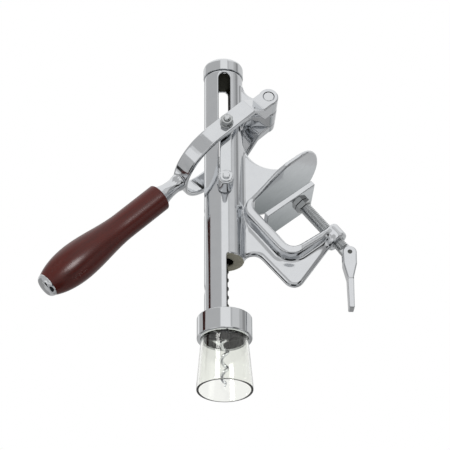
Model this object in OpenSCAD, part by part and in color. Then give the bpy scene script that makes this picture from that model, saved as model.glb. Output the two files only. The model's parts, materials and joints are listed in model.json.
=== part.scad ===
// Counter mount corkscrew, in millimetres.
// Z runs up the tube axis and the origin is the centre of the bell's mouth.
// +X points to the counter clamp, and the lever handle hangs on the -X side.

/* [Bell and collar] */
// Inner radius of the bell at its mouth
mouth_r = 22; // [21:0.5:26]
// Wall of the clear bell
bell_wall = 2; // [1.5:0.1:3]
// Length of the straight land inside the mouth
bell_land = 5; // [3:0.5:10]
// Outer radius of the bell's neck
bell_neck_r = 20.4; // [19.5:0.1:21.5]
// Height of the bell, neck included
bell_h = 58; // [50:1:70]
// Length of neck held inside the collar
bell_grip = 11; // [8:0.5:14]
// Thickness of the rubber ring that the bottle's lip meets
stop_t = 2; // [1:0.5:4]
// Outer radius of the collar
collar_r = 23.8; // [23:0.1:28]
// Height of the collar
collar_h = 20.5; // [18:0.5:26]
// Rounding of the collar's edges
collar_edge = 1.4; // [0.5:0.1:2]

/* [Tube] */
// Outer diameter of the tube
tube_d = 35; // [34:0.5:38]
// Wall of the tube
tube_wall = 3.8; // [3:0.1:4.5]
// Height of the open window above the collar
window_h = 54.5; // [40:0.5:70]
// How far the front half shell reaches past the tube axis
shell_lip = 1; // [0:0.5:3]
// Height of the tube from its lower end face to the cap
barrel_h = 191.5; // [185:0.5:230]
// Thickness of the wall at the lower end of the tube
end_wall = 12; // [6:1:20]
// Diameter of the spindle hole in the end wall
end_hole_d = 15; // [12:0.5:18]
// Width of the two side slots
slot_w = 10.2; // [9.5:0.1:12]
// Slot left free above the stud at the top of the stroke
slot_spare = 12; // [2:0.5:12]
// Height of the top cap above the tube
cap_h = 13.5; // [8:0.5:20]
// How far the cap stands out past the tube
cap_over = 0.6; // [0.2:0.1:1.5]
// Depth of the cap's plug inside the tube
cap_plug = 3; // [2:0.5:4]
// Rounding of the cap's top edge
cap_edge = 4.5; // [2:0.5:7]

/* [Pivot ear] */
// Distance of the lever pivot from the tube axis
pivot_x = 39.2; // [38:0.2:44]
// Depth of the lever pivot below the cap seam
pivot_drop = 35.4; // [30:0.2:45]
// Radius of the pivot pin
pivot_r = 5; // [4:0.1:6]
// Radius of the ear around the pivot
ear_r = 9; // [8:0.2:11]
// Thickness of the ear
ear_t = 19; // [14:0.5:20]
// Fillet above the ear
ear_fillet_top = 14; // [8:0.5:15]
// Fillet below the ear
ear_fillet_low = 13; // [8:0.5:15]

/* [Clamp bracket] */
// Tilt of the jaws away from square to the tube
jaw_tilt = 39; // [35:0.5:45]
// Place of the jaw seat's centre along X
jaw_x = 55.1; // [53:0.2:62]
// Height of the jaw seat's centre
jaw_z = 200.3; // [195:0.2:206]
// Opening between the jaw seat and the lower arm
throat_h = 58; // [54:0.5:70]
// Depth of the throat from the screw axis to the spine
throat_d = 43.2; // [40:0.2:50]
// Thickness of the jaw plate
jaw_t = 4; // [3:0.1:6]
// Half width of the jaw plate
jaw_half = 38; // [25:0.5:45]
// Length of the straight sides of the jaw plate past the screw axis
jaw_flat = 14; // [4:0.5:20]
// Length of the rounded nose of the jaw plate
jaw_nose = 24; // [14:0.5:30]
// Thickness of the spine
spine_t = 8.7; // [6:0.1:10]
// Half width of the spine
spine_half = 17; // [12:0.5:20]
// Thickness of the lower arm
arm_t = 6.5; // [5:0.1:9]
// Inner corner radius of the throat
throat_r = 9; // [4:0.5:12]
// Outer radius of the screw boss
boss_r = 10.5; // [9:0.1:13]
// Height of the screw boss
boss_h = 15; // [12:0.5:20]
// Thickness of the central rib
rib_t = 8; // [5:0.2:12]
// Radius of the rib's lower corner
rib_r = 10; // [6:0.5:14]
// Depth of that corner's centre below the lower arm
rib_drop = 9.5; // [6:0.5:14]
// Radius of the hollow between the ear and the jaw
rib_hollow = 28.3; // [22:0.5:30]

/* [Lever] */
// Angle of the lever below level at rest
rest_angle = 43.6; // [40:0.2:48]
// Swing of the lever from rest to upright
lever_swing = 130; // [110:1:130]
// Distance from the pivot to the link bolts
lever_reach = 53.5; // [52:0.1:56]
// Outer face of the thick pivot boss, from the middle plane
boss_out_near = 28; // [24:0.5:30]
// Outer face of the thin pivot boss, from the middle plane
boss_out_far = 20; // [16:0.5:24]
// Gap from the tube to the yoke arms
yoke_gap = 17.3; // [16:0.1:20]
// Thickness of the yoke arms
yoke_t = 5; // [4:0.1:8]
// How much thinner the yoke gets at its round end
yoke_taper = 1.4; // [0:0.1:2]
// Height of the yoke arms
yoke_h = 16.8; // [15:0.2:20]
// Distance from the pivot to the centre of the yoke's round end
yoke_round = 70; // [66:0.5:80]
// Length of the tang between the yoke and the wood
tang_len = 23.2; // [18:0.2:30]
// Radius of the tang at its waist
tang_r = 6.7; // [6:0.1:8]
// Radius of the tang's flare where the wood starts
flare_r = 9.8; // [8.5:0.1:11]

/* [Wooden handle] */
// Length of the wood
wood_len = 131; // [115:1:150]
// Radius of the slim part
slim_r = 12.5; // [11:0.1:14]
// Radius of the thick part
bulge_r = 17.5; // [15:0.1:20]
// Radius of the wood at the end cap
wood_end_r = 11; // [9:0.1:13]
// Length of the part that stays slim
slim_len = 43; // [30:1:50]
// Distance from the wood's start to its thickest place
bulge_at = 99; // [85:1:105]
// Radius of the rod inside the handle
rod_r = 4; // [3:0.1:4.5]
// Length of the end cap
end_cap_len = 5.5; // [4:0.5:10]

/* [Links] */
// Distance between the two ends of a link
link_len = 52.2; // [50:0.1:54]
// Thickness of a link
link_t = 4; // [3:0.1:4.5]
// Width of a link
link_w = 10.7; // [9:0.1:12]
// Gap from a link to the yoke arm
link_gap = 3.8; // [3:0.1:5]
// Radius of the upper eye
link_eye_r = 7; // [6:0.1:8]
// Radius of the lower boss
link_boss_r = 7.2; // [6:0.1:8]
// Radius of the link bolts
bolt_r = 3; // [2.5:0.1:3.5]
// Width across flats of the bolt nuts
nut_flats = 10; // [9:0.5:11]
// Thickness of the bolt nuts
nut_t = 5.4; // [4:0.1:6]
// Radius of the bolt washers
washer_r = 6; // [5.8:0.1:7]
// Thickness of the bolt washers
washer_t = 1.4; // [1:0.1:2]
// Thickness of the bolt heads
head_t = 3.7; // [3:0.1:4.5]

/* [Slider and spindle] */
// Slider below its studs
slider_low = 9; // [8:0.5:14]
// Slider above its studs
slider_high = 6.5; // [6:0.5:7]
// Radius of the studs in the slots
stud_r = 4.6; // [4:0.1:4.7]
// Radius of the spindle's neck inside the slider
neck_r = 4.6; // [4:0.1:5]
// Outer radius of the spindle's ridges
spindle_r = 4; // [3.8:0.1:4.5]
// Radius of the spindle between the ridges
spindle_core_r = 3; // [2.7:0.1:3.2]
// Rise of the spindle in one turn
lead = 16.8; // [14:0.1:20]
// Direction of a ridge at the spindle's lower end
ridge_turn = 120; // [0:5:175]
// Radius of the thrust flange
flange_r = 7; // [6:0.1:9]
// Thickness of the thrust flange and of its washer
flange_t = 1.5; // [1:0.1:2]
// Height of the drive nut
drive_nut_h = 10; // [8:0.5:11]
// Radius of the follower pins
follower_r = 1.5; // [1:0.1:1.6]
// Radius of the chuck that holds the worm
chuck_r = 3.5; // [3.2:0.1:3.8]
// Height of the chuck
chuck_h = 14; // [8:0.5:18]
// Height of the worm's point above the mouth
worm_tip_z = 4; // [-4:0.5:8]
// Length of the worm below the chuck
worm_len = 42; // [35:0.5:50]
// Rise of the worm in one turn
worm_pitch = 15.2; // [13:0.1:18]
// Direction of the worm's winding at its point
worm_turn = 340; // [0:5:355]
// Radius of the worm's wire
wire_r = 1.3; // [1:0.05:1.5]
// Radius of the worm's winding, at the middle of the wire
worm_r = 2.6; // [2.2:0.1:2.8]

/* [Clamp screw and pad] */
// Radius of the clamp screw
screw_r = 5.5; // [4.5:0.1:6]
// Gap from the jaw seat to the pad
pad_gap = 17; // [12:0.5:20]
// Thickness of the pad
pad_t = 5; // [4:0.1:6]
// Half width of the pad
pad_half = 20.5; // [14:0.5:24]
// Reach of the pad from the screw axis towards the spine
pad_in = 40.5; // [30:0.5:41]
// Reach of the pad from the screw axis to its open end
pad_out = 13.3; // [11:0.1:16]
// Thickness of the nut under the pad
pad_nut_t = 4.8; // [4:0.1:8]
// Width across flats of the nut under the pad
pad_nut_flats = 13.5; // [13:0.1:18]
// Screw left showing below the boss
screw_out = 7; // [5:0.5:12]
// Distance from the end of the thread to the handle pin
eye_drop = 7.7; // [7:0.1:10]
// Thickness of the screw's flat eye
eye_t = 5; // [4:0.1:6]
// Radius of the handle pin
fold_pin_r = 2; // [1.5:0.1:2.5]
// Thickness of each cheek of the folding handle
cheek_t = 3; // [2:0.1:4]
// Radius of the cheeks around the pin
cheek_r = 6.2; // [5.5:0.1:6.5]
// Length of the folding handle below its pin
fold_len = 54; // [45:1:70]
// Width of the folding handle's shank at its top
shank_w = 5.8; // [4:0.1:8]
// Width of the folding handle's shank at its end
shank_end_w = 4.8; // [3:0.1:8]

/* [Hidden] */
$fn = 72;
fit = 0.05;        // radial clearance of a running fit
gap = 0.3;         // free gap between pieces that move past each other
eps = 0.01;        // overlap that keeps cuts clean
far = 400;         // longer than the whole object

chrome = [0.78, 0.79, 0.80];
bare_metal = [0.70, 0.67, 0.60];
steel = [0.60, 0.61, 0.62];

// Heights along the tube, from the mouth upwards
tube_r = tube_d / 2;
bore_r = tube_r - tube_wall;
collar_z = bell_h - bell_grip;
spigot_z = bell_h + stop_t;
collar_top = collar_z + collar_h;
end_z = collar_top + window_h;
bore_z = end_z + end_wall;
top_z = end_z + barrel_h;

// Linkage: [x, z] of the link bolts and height of the studs for a lever angle t
pivot = [pivot_x, top_z - pivot_drop];
function bolt_at(t) = pivot - lever_reach * [cos(rest_angle - t), sin(rest_angle - t)];
function stud_at(t) = bolt_at(t)[1] - sqrt(pow(link_len, 2) - pow(bolt_at(t)[0], 2));
bolt_p = bolt_at(0);
stud_p = [0, stud_at(0)];
stroke = stud_at(lever_swing) - stud_p[1];

// Sideways places, as distances from the middle plane
yoke_in = tube_r + yoke_gap;
yoke_out = yoke_in + yoke_t;
link_out = yoke_in - link_gap;
link_in = link_out - link_t;
boss_in = ear_t / 2 + gap;
link_boss_in = tube_r + gap + 0.1;
link_boss_out = link_out + 3.5;
link_flange_t = 1.5;
link_flange_r = 5.7;
stud_pin_r = 3.2;
stud_end = link_boss_out + link_flange_t + 2;
nut_face = yoke_out + washer_t;
bolt_end = nut_face + nut_t + 2.4;

// Yoke, as distances from the pivot along the lever
step_near = [13, 26];
step_far = [16, 32];
inner_near = [11, 25];
inner_far = [16, 34];
loop_in = yoke_in + yoke_taper / 2;
loop_out = yoke_out - yoke_taper / 2;
yoke_front = yoke_round + loop_out;
tang_root_r = yoke_h / 2 - 0.4;
lever_boss_r = yoke_h / 2 + 0.4;
wood_start = yoke_front + tang_len;
wood_end = wood_start + wood_len;
rod_start = yoke_front + 4;
rod_end = wood_end + 2;

// Slider, spindle and nut
slider_z = stud_p[1] - slider_low;
slider_top = stud_p[1] + slider_high;
flange_z = slider_z - gap - 2 * flange_t;
drive_nut_z = flange_z - 0.7 - drive_nut_h;
follower_z = drive_nut_z + drive_nut_h / 2;
retainer_z = slider_top + gap;
retainer_t = 5.5;
retainer_r = 9;
chuck_z = worm_tip_z + worm_len;
chuck_top = chuck_z + chuck_h;
stem_r = 2;
stem_h = chuck_h - 2;

// Set screws
set_screw_r = 2.5;
set_screw_depth = 3;
follower_end = bore_r - set_screw_depth - 1;
shell_screw_z = collar_top + window_h / 2;
shell_recess_r = 4.5;
shell_recess = 1.2;

// Clamp, in the jaw's own frame: x along the jaw, z square to it, origin on the seat
spine_x = -throat_d - spine_t;
arm_z = -throat_h - arm_t;
boss_z = -throat_h + 1 - boss_h;
rib_corner = [spine_x - 1.1, arm_z - rib_drop];
pad_z = -pad_gap - pad_t;
screw_top = pad_z - gap;
thread_end = boss_z - screw_out;
eye_z = thread_end - eye_drop;
rivet_r = 4;
rivet_top = -pad_gap - 1.5;

// Helpers ---------------------------------------------------------------

function polar(r, a) = [r * cos(a), r * sin(a)];
function arc(c, r, a0, a1, n = 18) = [for (i = [0 : n]) c + polar(r, a0 + (a1 - a0) * i / n)];
function tangent(a, b, r, way) = atan2(b[1] - a[1], b[0] - a[0]) - way * asin(r / norm(b - a));
function smooth(t) = let (s = min(max(t, 0), 1)) s * s * (3 - 2 * s);
function jaw_point(x, z) = [jaw_x + x * cos(jaw_tilt) - z * sin(jaw_tilt),
                            jaw_z + x * sin(jaw_tilt) + z * cos(jaw_tilt)];

// A plate whose outline is drawn in [x, z], from y0 to y1
module plate(outline, y0, y1)
    translate([0, y1, 0]) rotate([90, 0, 0]) linear_extrude(y1 - y0) polygon(outline);

// A round bar along Y at [x, z], from y0 to y1
module crossbar(p, r, y0, y1)
    translate([p[0], y1, p[1]]) rotate([90, 0, 0]) cylinder(r = r, h = y1 - y0);

// The same bar on both sides of the middle plane
module crossbars(p, r, y0, y1)
    for (s = [-1, 1]) crossbar(p, r, s < 0 ? -y1 : y0, s < 0 ? -y0 : y1);

// A round bar that points to -X at height z, from radius r0 to r1
module side_bar(z, r, r0, r1)
    translate([-r0, 0, z]) rotate([0, -90, 0]) cylinder(r = r, h = r1 - r0);

// A ring along Z
module ring(r_out, r_in, z0, z1)
    difference() {
        translate([0, 0, z0]) cylinder(r = r_out, h = z1 - z0);
        translate([0, 0, z0 - 1]) cylinder(r = r_in, h = z1 - z0 + 2);
    }

// A hexagonal prism along Z
module hexagon(flats, h)
    cylinder(r = flats / 2 / cos(30), h = h, $fn = 6);

// Places its children in the jaw's frame
module on_jaw()
    translate([jaw_x, 0, jaw_z]) rotate([0, -jaw_tilt, 0]) children();

// Places its children along the lever at rest, with x away from the pivot and +y near
module on_lever()
    translate([pivot[0], 0, pivot[1]]) rotate([0, -rest_angle, 0]) rotate([0, 0, 180]) children();

// Frame casting ---------------------------------------------------------

// The tube, with the front half shell and the spigot below it
module tube_shape() {
    translate([0, 0, end_z]) cylinder(r = tube_r, h = barrel_h);
    difference() {
        translate([0, 0, spigot_z]) cylinder(r = tube_r, h = end_z - spigot_z + eps);
        translate([shell_lip, -tube_d, collar_top]) cube([tube_d, 2 * tube_d, window_h]);
    }
}

// The ear that carries the lever pivot
module ear_shape() {
    top = pivot[1] + ear_r + 1;
    low = pivot[1] - ear_r;
    plate(concat([[0, top + ear_fillet_top]],
                 arc([tube_r + ear_fillet_top, top + ear_fillet_top], ear_fillet_top, 180, 270),
                 [[pivot_x, pivot[1] + ear_r], [pivot_x, low]],
                 arc([tube_r + ear_fillet_low, low - ear_fillet_low], ear_fillet_low, 90, 180),
                 [[0, low - ear_fillet_low]]),
          -ear_t / 2, ear_t / 2);
    crossbar(pivot, ear_r, -ear_t / 2, ear_t / 2);
}

// The central rib between the tube, the jaws and the screw boss
module rib_shape() {
    knee = [tube_r + 8.5, end_z - 1.7];
    knee_r = 9;
    corner = jaw_point(rib_corner[0], rib_corner[1]);
    boss_foot = jaw_point(-boss_r + 1, boss_z + 0.5);
    hollow = [tube_r + rib_hollow, jaw_z + 45.7];
    run_in = tangent(knee, corner, knee_r + rib_r, 1);
    run_out = tangent(corner, boss_foot, rib_r, -1);
    plate(concat([[0, end_z], [tube_r, end_z + 0.5]],
                 arc(knee, knee_r, 150, run_in + 90),
                 arc(corner, rib_r, run_in + 270, run_out + 270),
                 [boss_foot, jaw_point(-5, boss_z + 2), jaw_point(-5, -throat_h - arm_t / 2),
                  jaw_point(spine_x + spine_t / 2, -throat_h - arm_t / 2),
                  jaw_point(spine_x + spine_t / 2, jaw_t / 2), jaw_point(7, jaw_t / 2),
                  hollow + [12, -rib_hollow + 1]],
                 arc(hollow, rib_hollow, 270, 180),
                 [[0, hollow[1]]]),
          -rib_t / 2, rib_t / 2);
}

// Half width of the jaw plate at a place x along it
function jaw_width(x) =
    x < jaw_flat ? spine_half + (jaw_half - spine_half) * smooth((x + throat_d - 1) / (throat_d - 1))
                 : jaw_half * sqrt(max(0, 1 - pow((x - jaw_flat) / jaw_nose, 2)));

// The wide oval upper jaw
module jaw_plate() {
    n = 24;
    back = [for (i = [0 : n]) -throat_d + (throat_d + jaw_flat) * i / n];
    nose = [for (i = [1 : n - 1]) jaw_flat + jaw_nose * sin(90 * i / n)];
    side = [for (x = concat(back, nose)) [x, jaw_width(x)]];
    linear_extrude(jaw_t)
        polygon(concat(side, [[jaw_flat + jaw_nose, 0]],
                       [for (i = [len(side) - 1 : -1 : 0]) [side[i][0], -side[i][1]]]));
}

// The spine, with its rounded corners into the jaw and the lower arm
module spine_shape() {
    r_out = throat_r + arm_t;
    r_top = jaw_t + 3;
    end_x = -throat_d + throat_r;
    plate(concat([[end_x, arm_z]],
                 arc([spine_x + r_out, arm_z + r_out], r_out, 270, 180),
                 arc([spine_x + r_top, jaw_t - r_top], r_top, 180, 90),
                 [[end_x, jaw_t]],
                 arc([end_x, -throat_r], throat_r, 90, 180),
                 arc([end_x, -throat_h + throat_r], throat_r, 180, 270)),
          -spine_half, spine_half);
}

// The lower arm, which narrows to the screw boss
module lower_arm()
    translate([0, 0, arm_z]) linear_extrude(arm_t)
        polygon([[-throat_d + throat_r, -spine_half], [0, -boss_r], [0, boss_r],
                 [-throat_d + throat_r, spine_half]]);

module frame_casting()
    color(chrome) difference() {
        union() {
            tube_shape();
            ear_shape();
            rib_shape();
            on_jaw() {
                jaw_plate();
                spine_shape();
                lower_arm();
                translate([0, 0, boss_z]) cylinder(r = boss_r, h = boss_h);
            }
        }
        // bore of the tube, hollow of the half shell and hole in the end wall
        translate([0, 0, bore_z]) cylinder(r = bore_r, h = far);
        translate([0, 0, spigot_z - 1]) cylinder(r = bore_r, h = end_z - spigot_z + 1);
        translate([0, 0, end_z - 1]) cylinder(d = end_hole_d, h = end_wall + 2);
        // side slots
        translate([-slot_w / 2, -tube_d, stud_p[1] - 0.5])
            cube([slot_w, 2 * tube_d, stroke + slot_spare + 0.5]);
        crossbar([0, stud_p[1] - 0.5], slot_w / 2, -tube_d, tube_d);
        crossbar([0, stud_p[1] + stroke + slot_spare], slot_w / 2, -tube_d, tube_d);
        // pivot, clamp screw and set screw holes
        crossbar(pivot, pivot_r, -tube_d, tube_d);
        on_jaw() translate([0, 0, boss_z - 1]) cylinder(r = screw_r + fit, h = boss_h + 2);
        side_bar(follower_z, set_screw_r, bore_r - 1, tube_r + 1);
        side_bar(shell_screw_z, set_screw_r, bore_r - 1, tube_r + 1);
        side_bar(shell_screw_z, shell_recess_r, tube_r - shell_recess, tube_r + 1);
    }

// Pieces fixed to the frame ---------------------------------------------

module top_cap()
    color(chrome) {
        r = tube_r + cap_over;
        rotate_extrude() polygon(concat([[0, top_z], [r, top_z]],
            arc([r - cap_edge, top_z + cap_h - cap_edge], cap_edge, 0, 90, 10),
            [[0, top_z + cap_h]]));
        translate([0, 0, top_z - cap_plug]) cylinder(r = bore_r, h = cap_plug + eps);
    }

module bell_collar()
    color(chrome) difference() {
        rotate_extrude() polygon(concat([[tube_r - 3, collar_z]],
            arc([collar_r - collar_edge, collar_z + collar_edge], collar_edge, 270, 360, 8),
            arc([collar_r - collar_edge, collar_top - collar_edge], collar_edge, 0, 90, 8),
            [[tube_r - 3, collar_top]]));
        translate([0, 0, collar_z - 1]) cylinder(r = bell_neck_r, h = bell_grip + stop_t + 1);
        translate([0, 0, collar_z - 1]) cylinder(r = tube_r, h = collar_h + 2);
    }

module clear_bell()
    color([0.90, 0.94, 0.93, 0.35]) difference() {
        union() {
            cylinder(r = mouth_r + bell_wall, h = bell_land);
            translate([0, 0, bell_land])
                cylinder(r1 = mouth_r + bell_wall, r2 = bell_neck_r, h = collar_z - 1 - bell_land);
            translate([0, 0, collar_z - 1]) cylinder(r = bell_neck_r, h = bell_grip + 1);
        }
        translate([0, 0, -1]) cylinder(r = mouth_r, h = bell_land + 1);
        translate([0, 0, bell_land])
            cylinder(r1 = mouth_r, r2 = bell_neck_r - bell_wall, h = collar_z - 1 - bell_land);
        translate([0, 0, collar_z - 1 - eps]) cylinder(r = bell_neck_r - bell_wall, h = bell_grip + 2);
    }

module bottle_stop()
    color([0.12, 0.12, 0.12]) ring(bell_neck_r, bore_r + 0.5, bell_h, spigot_z);

module drive_nut()
    color(bare_metal) difference() {
        ring(bore_r, spindle_r + gap, drive_nut_z, drive_nut_z + drive_nut_h);
        side_bar(follower_z, set_screw_r, bore_r - set_screw_depth, tube_r);
        at_followers() side_bar(follower_z, follower_r, 0, follower_end);
    }

// Turns its children to both grooves of the spindle
module at_followers()
    for (a = [90, 270]) rotate([0, 0, ridge_turn + 360 * (follower_z - chuck_top) / lead + a]) children();

module follower_pins()
    color(steel) at_followers() side_bar(follower_z, follower_r, spindle_core_r + gap, follower_end);

module nut_set_screw()
    color(steel) side_bar(follower_z, set_screw_r, bore_r - set_screw_depth, tube_r - 0.6);

module shell_screw()
    color(steel) side_bar(shell_screw_z, set_screw_r, bore_r + 0.2, tube_r - shell_recess);

module pivot_pin()
    color(chrome) crossbar(pivot, pivot_r, -boss_out_near, boss_out_far);

// Lever -----------------------------------------------------------------

// Outline of one arm in [along, across], from its boss to the yoke's round end
function yoke_arm(step, inner, boss_out) =
    [[0, boss_in], [inner[0], boss_in], [inner[1], yoke_in], [yoke_round, yoke_in],
     [yoke_round, yoke_out], [step[1], yoke_out], [step[0], boss_out], [0, boss_out]];

// One side of the yoke's round end, a long and b wide, walked in one direction or the other
function half_loop(a, b, way) = [for (i = [-16 : 16]) let (t = way * 90 * i / 16) [a * cos(t), b * sin(t)]];

// The tang's profile as [radius, distance from the pivot]
function tang_profile() =
    concat([[0, yoke_front - 2], [tang_root_r, yoke_front - 2]],
           [for (i = [0 : 6]) [tang_r + (tang_root_r - tang_r) * (1 - smooth(i / 6)),
                               yoke_front + tang_len * 0.3 * i / 6]],
           [for (i = [1 : 10]) [tang_r + (flare_r - tang_r) * pow(i / 10, 2.2),
                                yoke_front + tang_len * (0.3 + 0.7 * i / 10)]],
           [[0, wood_start]]);

module lever_yoke()
    color(chrome) on_lever() difference() {
        union() {
            translate([0, 0, -yoke_h / 2]) linear_extrude(yoke_h)
                polygon(yoke_arm(step_near, inner_near, boss_out_near));
            mirror([0, 1, 0]) translate([0, 0, -yoke_h / 2]) linear_extrude(yoke_h)
                polygon(yoke_arm(step_far, inner_far, boss_out_far));
            translate([yoke_round - eps, 0, -yoke_h / 2]) linear_extrude(yoke_h)
                polygon(concat(half_loop(loop_out, yoke_out, 1), half_loop(loop_in, yoke_in, -1)));
            crossbar([0, 0], lever_boss_r, boss_in, boss_out_near);
            crossbar([0, 0], lever_boss_r, -boss_out_far, -boss_in);
            rotate([0, 90, 0]) rotate_extrude() polygon(tang_profile());
        }
        crossbar([0, 0], pivot_r + fit, -far / 2, far / 2);
        crossbar([lever_reach, 0], bolt_r, -far / 2, far / 2);
        translate([rod_start, 0, 0]) rotate([0, 90, 0]) cylinder(r = rod_r, h = far);
    }

// Radius of the wood at a distance t from its start
function wood_r(t) =
    t < bulge_at ? slim_r + (bulge_r - slim_r) * smooth((t - slim_len) / (bulge_at - slim_len))
                 : bulge_r * sqrt(1 - pow((t - bulge_at) / (wood_len - bulge_at), 2)
                                      * (1 - pow(wood_end_r / bulge_r, 2)));

module wooden_handle() {
    edge = 1.2;
    n = 32;
    color([0.30, 0.10, 0.08]) on_lever() difference() {
        rotate([0, 90, 0]) rotate_extrude()
            polygon(concat([[0, wood_start]],
                           arc([slim_r - edge, wood_start + edge], edge, 270, 360, 4),
                           [for (i = [1 : n]) let (t = edge + (wood_len - edge) * i / n)
                               [wood_r(t), wood_start + t]],
                           [[0, wood_end]]));
        translate([wood_start - 1, 0, 0]) rotate([0, 90, 0]) cylinder(r = rod_r, h = wood_len + 2);
    }
}

module handle_rod()
    color(steel) on_lever() translate([rod_start, 0, 0]) rotate([0, 90, 0])
        cylinder(r = rod_r, h = rod_end - rod_start);

module handle_end_cap()
    color(chrome) on_lever() difference() {
        rotate([0, 90, 0]) rotate_extrude()
            polygon(concat([[0, wood_end], [wood_end_r, wood_end]],
                           [for (i = [1 : 8]) [wood_end_r - 3.2 * (1 - cos(90 * i / 8)) - 0.8 * i / 8,
                                               wood_end + (end_cap_len - 0.8) * sin(90 * i / 8)]],
                           [[0, wood_end + end_cap_len]]));
        translate([wood_end - 1, 0, 0]) rotate([0, 90, 0])
            cylinder(r = rod_r, h = rod_end - wood_end + 1);
    }

module lever_bolts()
    color(steel) {
        crossbars(bolt_p, bolt_r, link_in - gap - eps, bolt_end);
        crossbars(bolt_p, bolt_r + 2, link_in - gap - head_t, link_in - gap);
    }

module lever_washers()
    color(chrome) difference() {
        crossbars(bolt_p, washer_r, yoke_out, nut_face);
        crossbar(bolt_p, bolt_r, -far, far);
    }

module lever_nuts()
    color(chrome) difference() {
        for (s = [-1, 1]) translate([bolt_p[0], s < 0 ? -nut_face : nut_face + nut_t, bolt_p[1]])
            rotate([90, 0, 0]) hexagon(nut_flats, nut_t);
        crossbar(bolt_p, bolt_r, -far, far);
    }

module link_spacers()
    color(steel) difference() {
        crossbars(bolt_p, bolt_r + 2, link_out + gap, yoke_in);
        crossbar(bolt_p, bolt_r, -far, far);
    }

// Links -----------------------------------------------------------------

// One link on the +Y side
module link() {
    along = (stud_p - bolt_p) / norm(stud_p - bolt_p);
    across = [along[1], -along[0]] * link_w / 2;
    difference() {
        union() {
            plate([bolt_p + across, stud_p + across, stud_p - across, bolt_p - across],
                  link_in, link_out);
            crossbar(bolt_p, link_eye_r, link_in, link_out);
            crossbar(stud_p, link_boss_r, link_boss_in, link_boss_out);
        }
        crossbar(bolt_p, bolt_r + fit, 0, far);
        crossbar(stud_p, stud_pin_r, 0, far);
    }
}

module near_link() color(chrome) mirror([0, 1, 0]) link();

module far_link() color(chrome) link();

module link_studs()
    color(chrome) {
        crossbars(stud_p, stud_pin_r, link_boss_in, stud_end);
        crossbars(stud_p, link_flange_r, link_boss_out, link_boss_out + link_flange_t);
    }

// Slider and spindle ----------------------------------------------------

module slider()
    color(bare_metal) difference() {
        ring(bore_r - fit, neck_r + fit, slider_z, slider_top);
        crossbars(stud_p, stud_r, neck_r + 1.5, tube_d);
    }

module slider_studs()
    color(steel) crossbars(stud_p, stud_r, neck_r + 1.5, tube_r - 0.1);

// Radius of the spindle's section at an angle from a ridge's middle
function ridge_r(a) = spindle_core_r + (spindle_r - spindle_core_r) * smooth((50 - a) / 22);

module spindle() {
    steps = 16;
    section = [for (i = [0 : steps - 1]) let (a = 360 * i / steps, b = a % 180)
               polar(ridge_r(min(b, 180 - b)), a)];
    ridge_h = flange_z - chuck_top;
    color(steel) difference() {
        union() {
            translate([0, 0, chuck_top - eps]) rotate([0, 0, ridge_turn])
                linear_extrude(ridge_h + 2 * eps, twist = -360 * ridge_h / lead,
                               slices = ceil(14 * ridge_h / lead), $fn = 0)
                    polygon(section);
            translate([0, 0, flange_z]) cylinder(r = flange_r, h = flange_t);
            translate([0, 0, flange_z]) cylinder(r = neck_r, h = retainer_z + retainer_t - flange_z);
            translate([0, 0, chuck_z]) cylinder(r = chuck_r, h = chuck_h);
        }
        translate([0, 0, chuck_z - 1]) cylinder(r = stem_r, h = stem_h + 1);
    }
}

module thrust_washer()
    color(bare_metal) ring(flange_r, neck_r, flange_z + flange_t, flange_z + 2 * flange_t);

module retaining_nut()
    color(steel) ring(retainer_r, neck_r, retainer_z, retainer_z + retainer_t);

// Centre of the worm's wire and its radius at a share t of its length, from the point up
function worm_centre(t) =
    let (r = worm_r * min(1, t / 0.12) * min(1, (1 - t) / 0.05), a = worm_turn + 360 * worm_len * t / worm_pitch)
    [r * cos(a), r * sin(a), worm_tip_z + worm_len * t];
function worm_wire(t) = wire_r * (0.25 + 0.75 * min(1, t / 0.14));

module worm() {
    turns = ceil(18 * worm_len / worm_pitch);
    sides = 8;
    rings = [for (i = [0 : turns])
        let (t = i / turns, c = worm_centre(t),
             d = worm_centre(min(1, t + 0.01)) - worm_centre(max(0, t - 0.01)),
             f = d / norm(d), u = cross(f, [0, 0, 1]), v = u / norm(u), w = cross(f, v))
        [for (k = [0 : sides - 1]) let (a = 360 * k / sides) c + worm_wire(t) * (cos(a) * v + sin(a) * w)]];
    points = [for (one = rings) each one];
    walls = [for (i = [0 : turns - 1], k = [0 : sides - 1]) let (j = (k + 1) % sides)
             each [[i * sides + k, (i + 1) * sides + j, i * sides + j],
                   [i * sides + k, (i + 1) * sides + k, (i + 1) * sides + j]]];
    foot = [for (k = [0 : sides - 1]) k];
    head = [for (k = [sides - 1 : -1 : 0]) turns * sides + k];
    color(steel) {
        polyhedron(points, concat(walls, [foot, head]));
        translate([0, 0, chuck_z - 0.5]) cylinder(r = stem_r, h = stem_h + 0.5);
    }
}

// Clamp screw, pad and folding handle -------------------------------------

module swivel_pad()
    color(chrome) on_jaw() difference() {
        translate([-pad_in, -pad_half, pad_z]) cube([pad_in + pad_out, 2 * pad_half, pad_t]);
        translate([0, 0, pad_z - 1]) cylinder(r = rivet_r + fit, h = pad_t + 2);
    }

module clamp_screw()
    color(steel) on_jaw() difference() {
        union() {
            translate([0, 0, thread_end]) cylinder(r = screw_r, h = screw_top - thread_end);
            translate([0, 0, screw_top - eps]) cylinder(r = rivet_r, h = rivet_top - screw_top);
            intersection() {
                translate([0, 0, eye_z]) cylinder(r = screw_r, h = thread_end - eye_z + eps);
                translate([-screw_r, -eye_t / 2, eye_z]) cube([2 * screw_r, eye_t, far]);
            }
            crossbar([0, eye_z], screw_r, -eye_t / 2, eye_t / 2);
        }
        crossbar([0, eye_z], fold_pin_r, -far, far);
    }

module pad_nut()
    color(steel) on_jaw() translate([0, 0, screw_top - pad_nut_t]) difference() {
        hexagon(pad_nut_flats, pad_nut_t);
        translate([0, 0, -1]) cylinder(r = screw_r, h = pad_nut_t + 2);
    }

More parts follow.
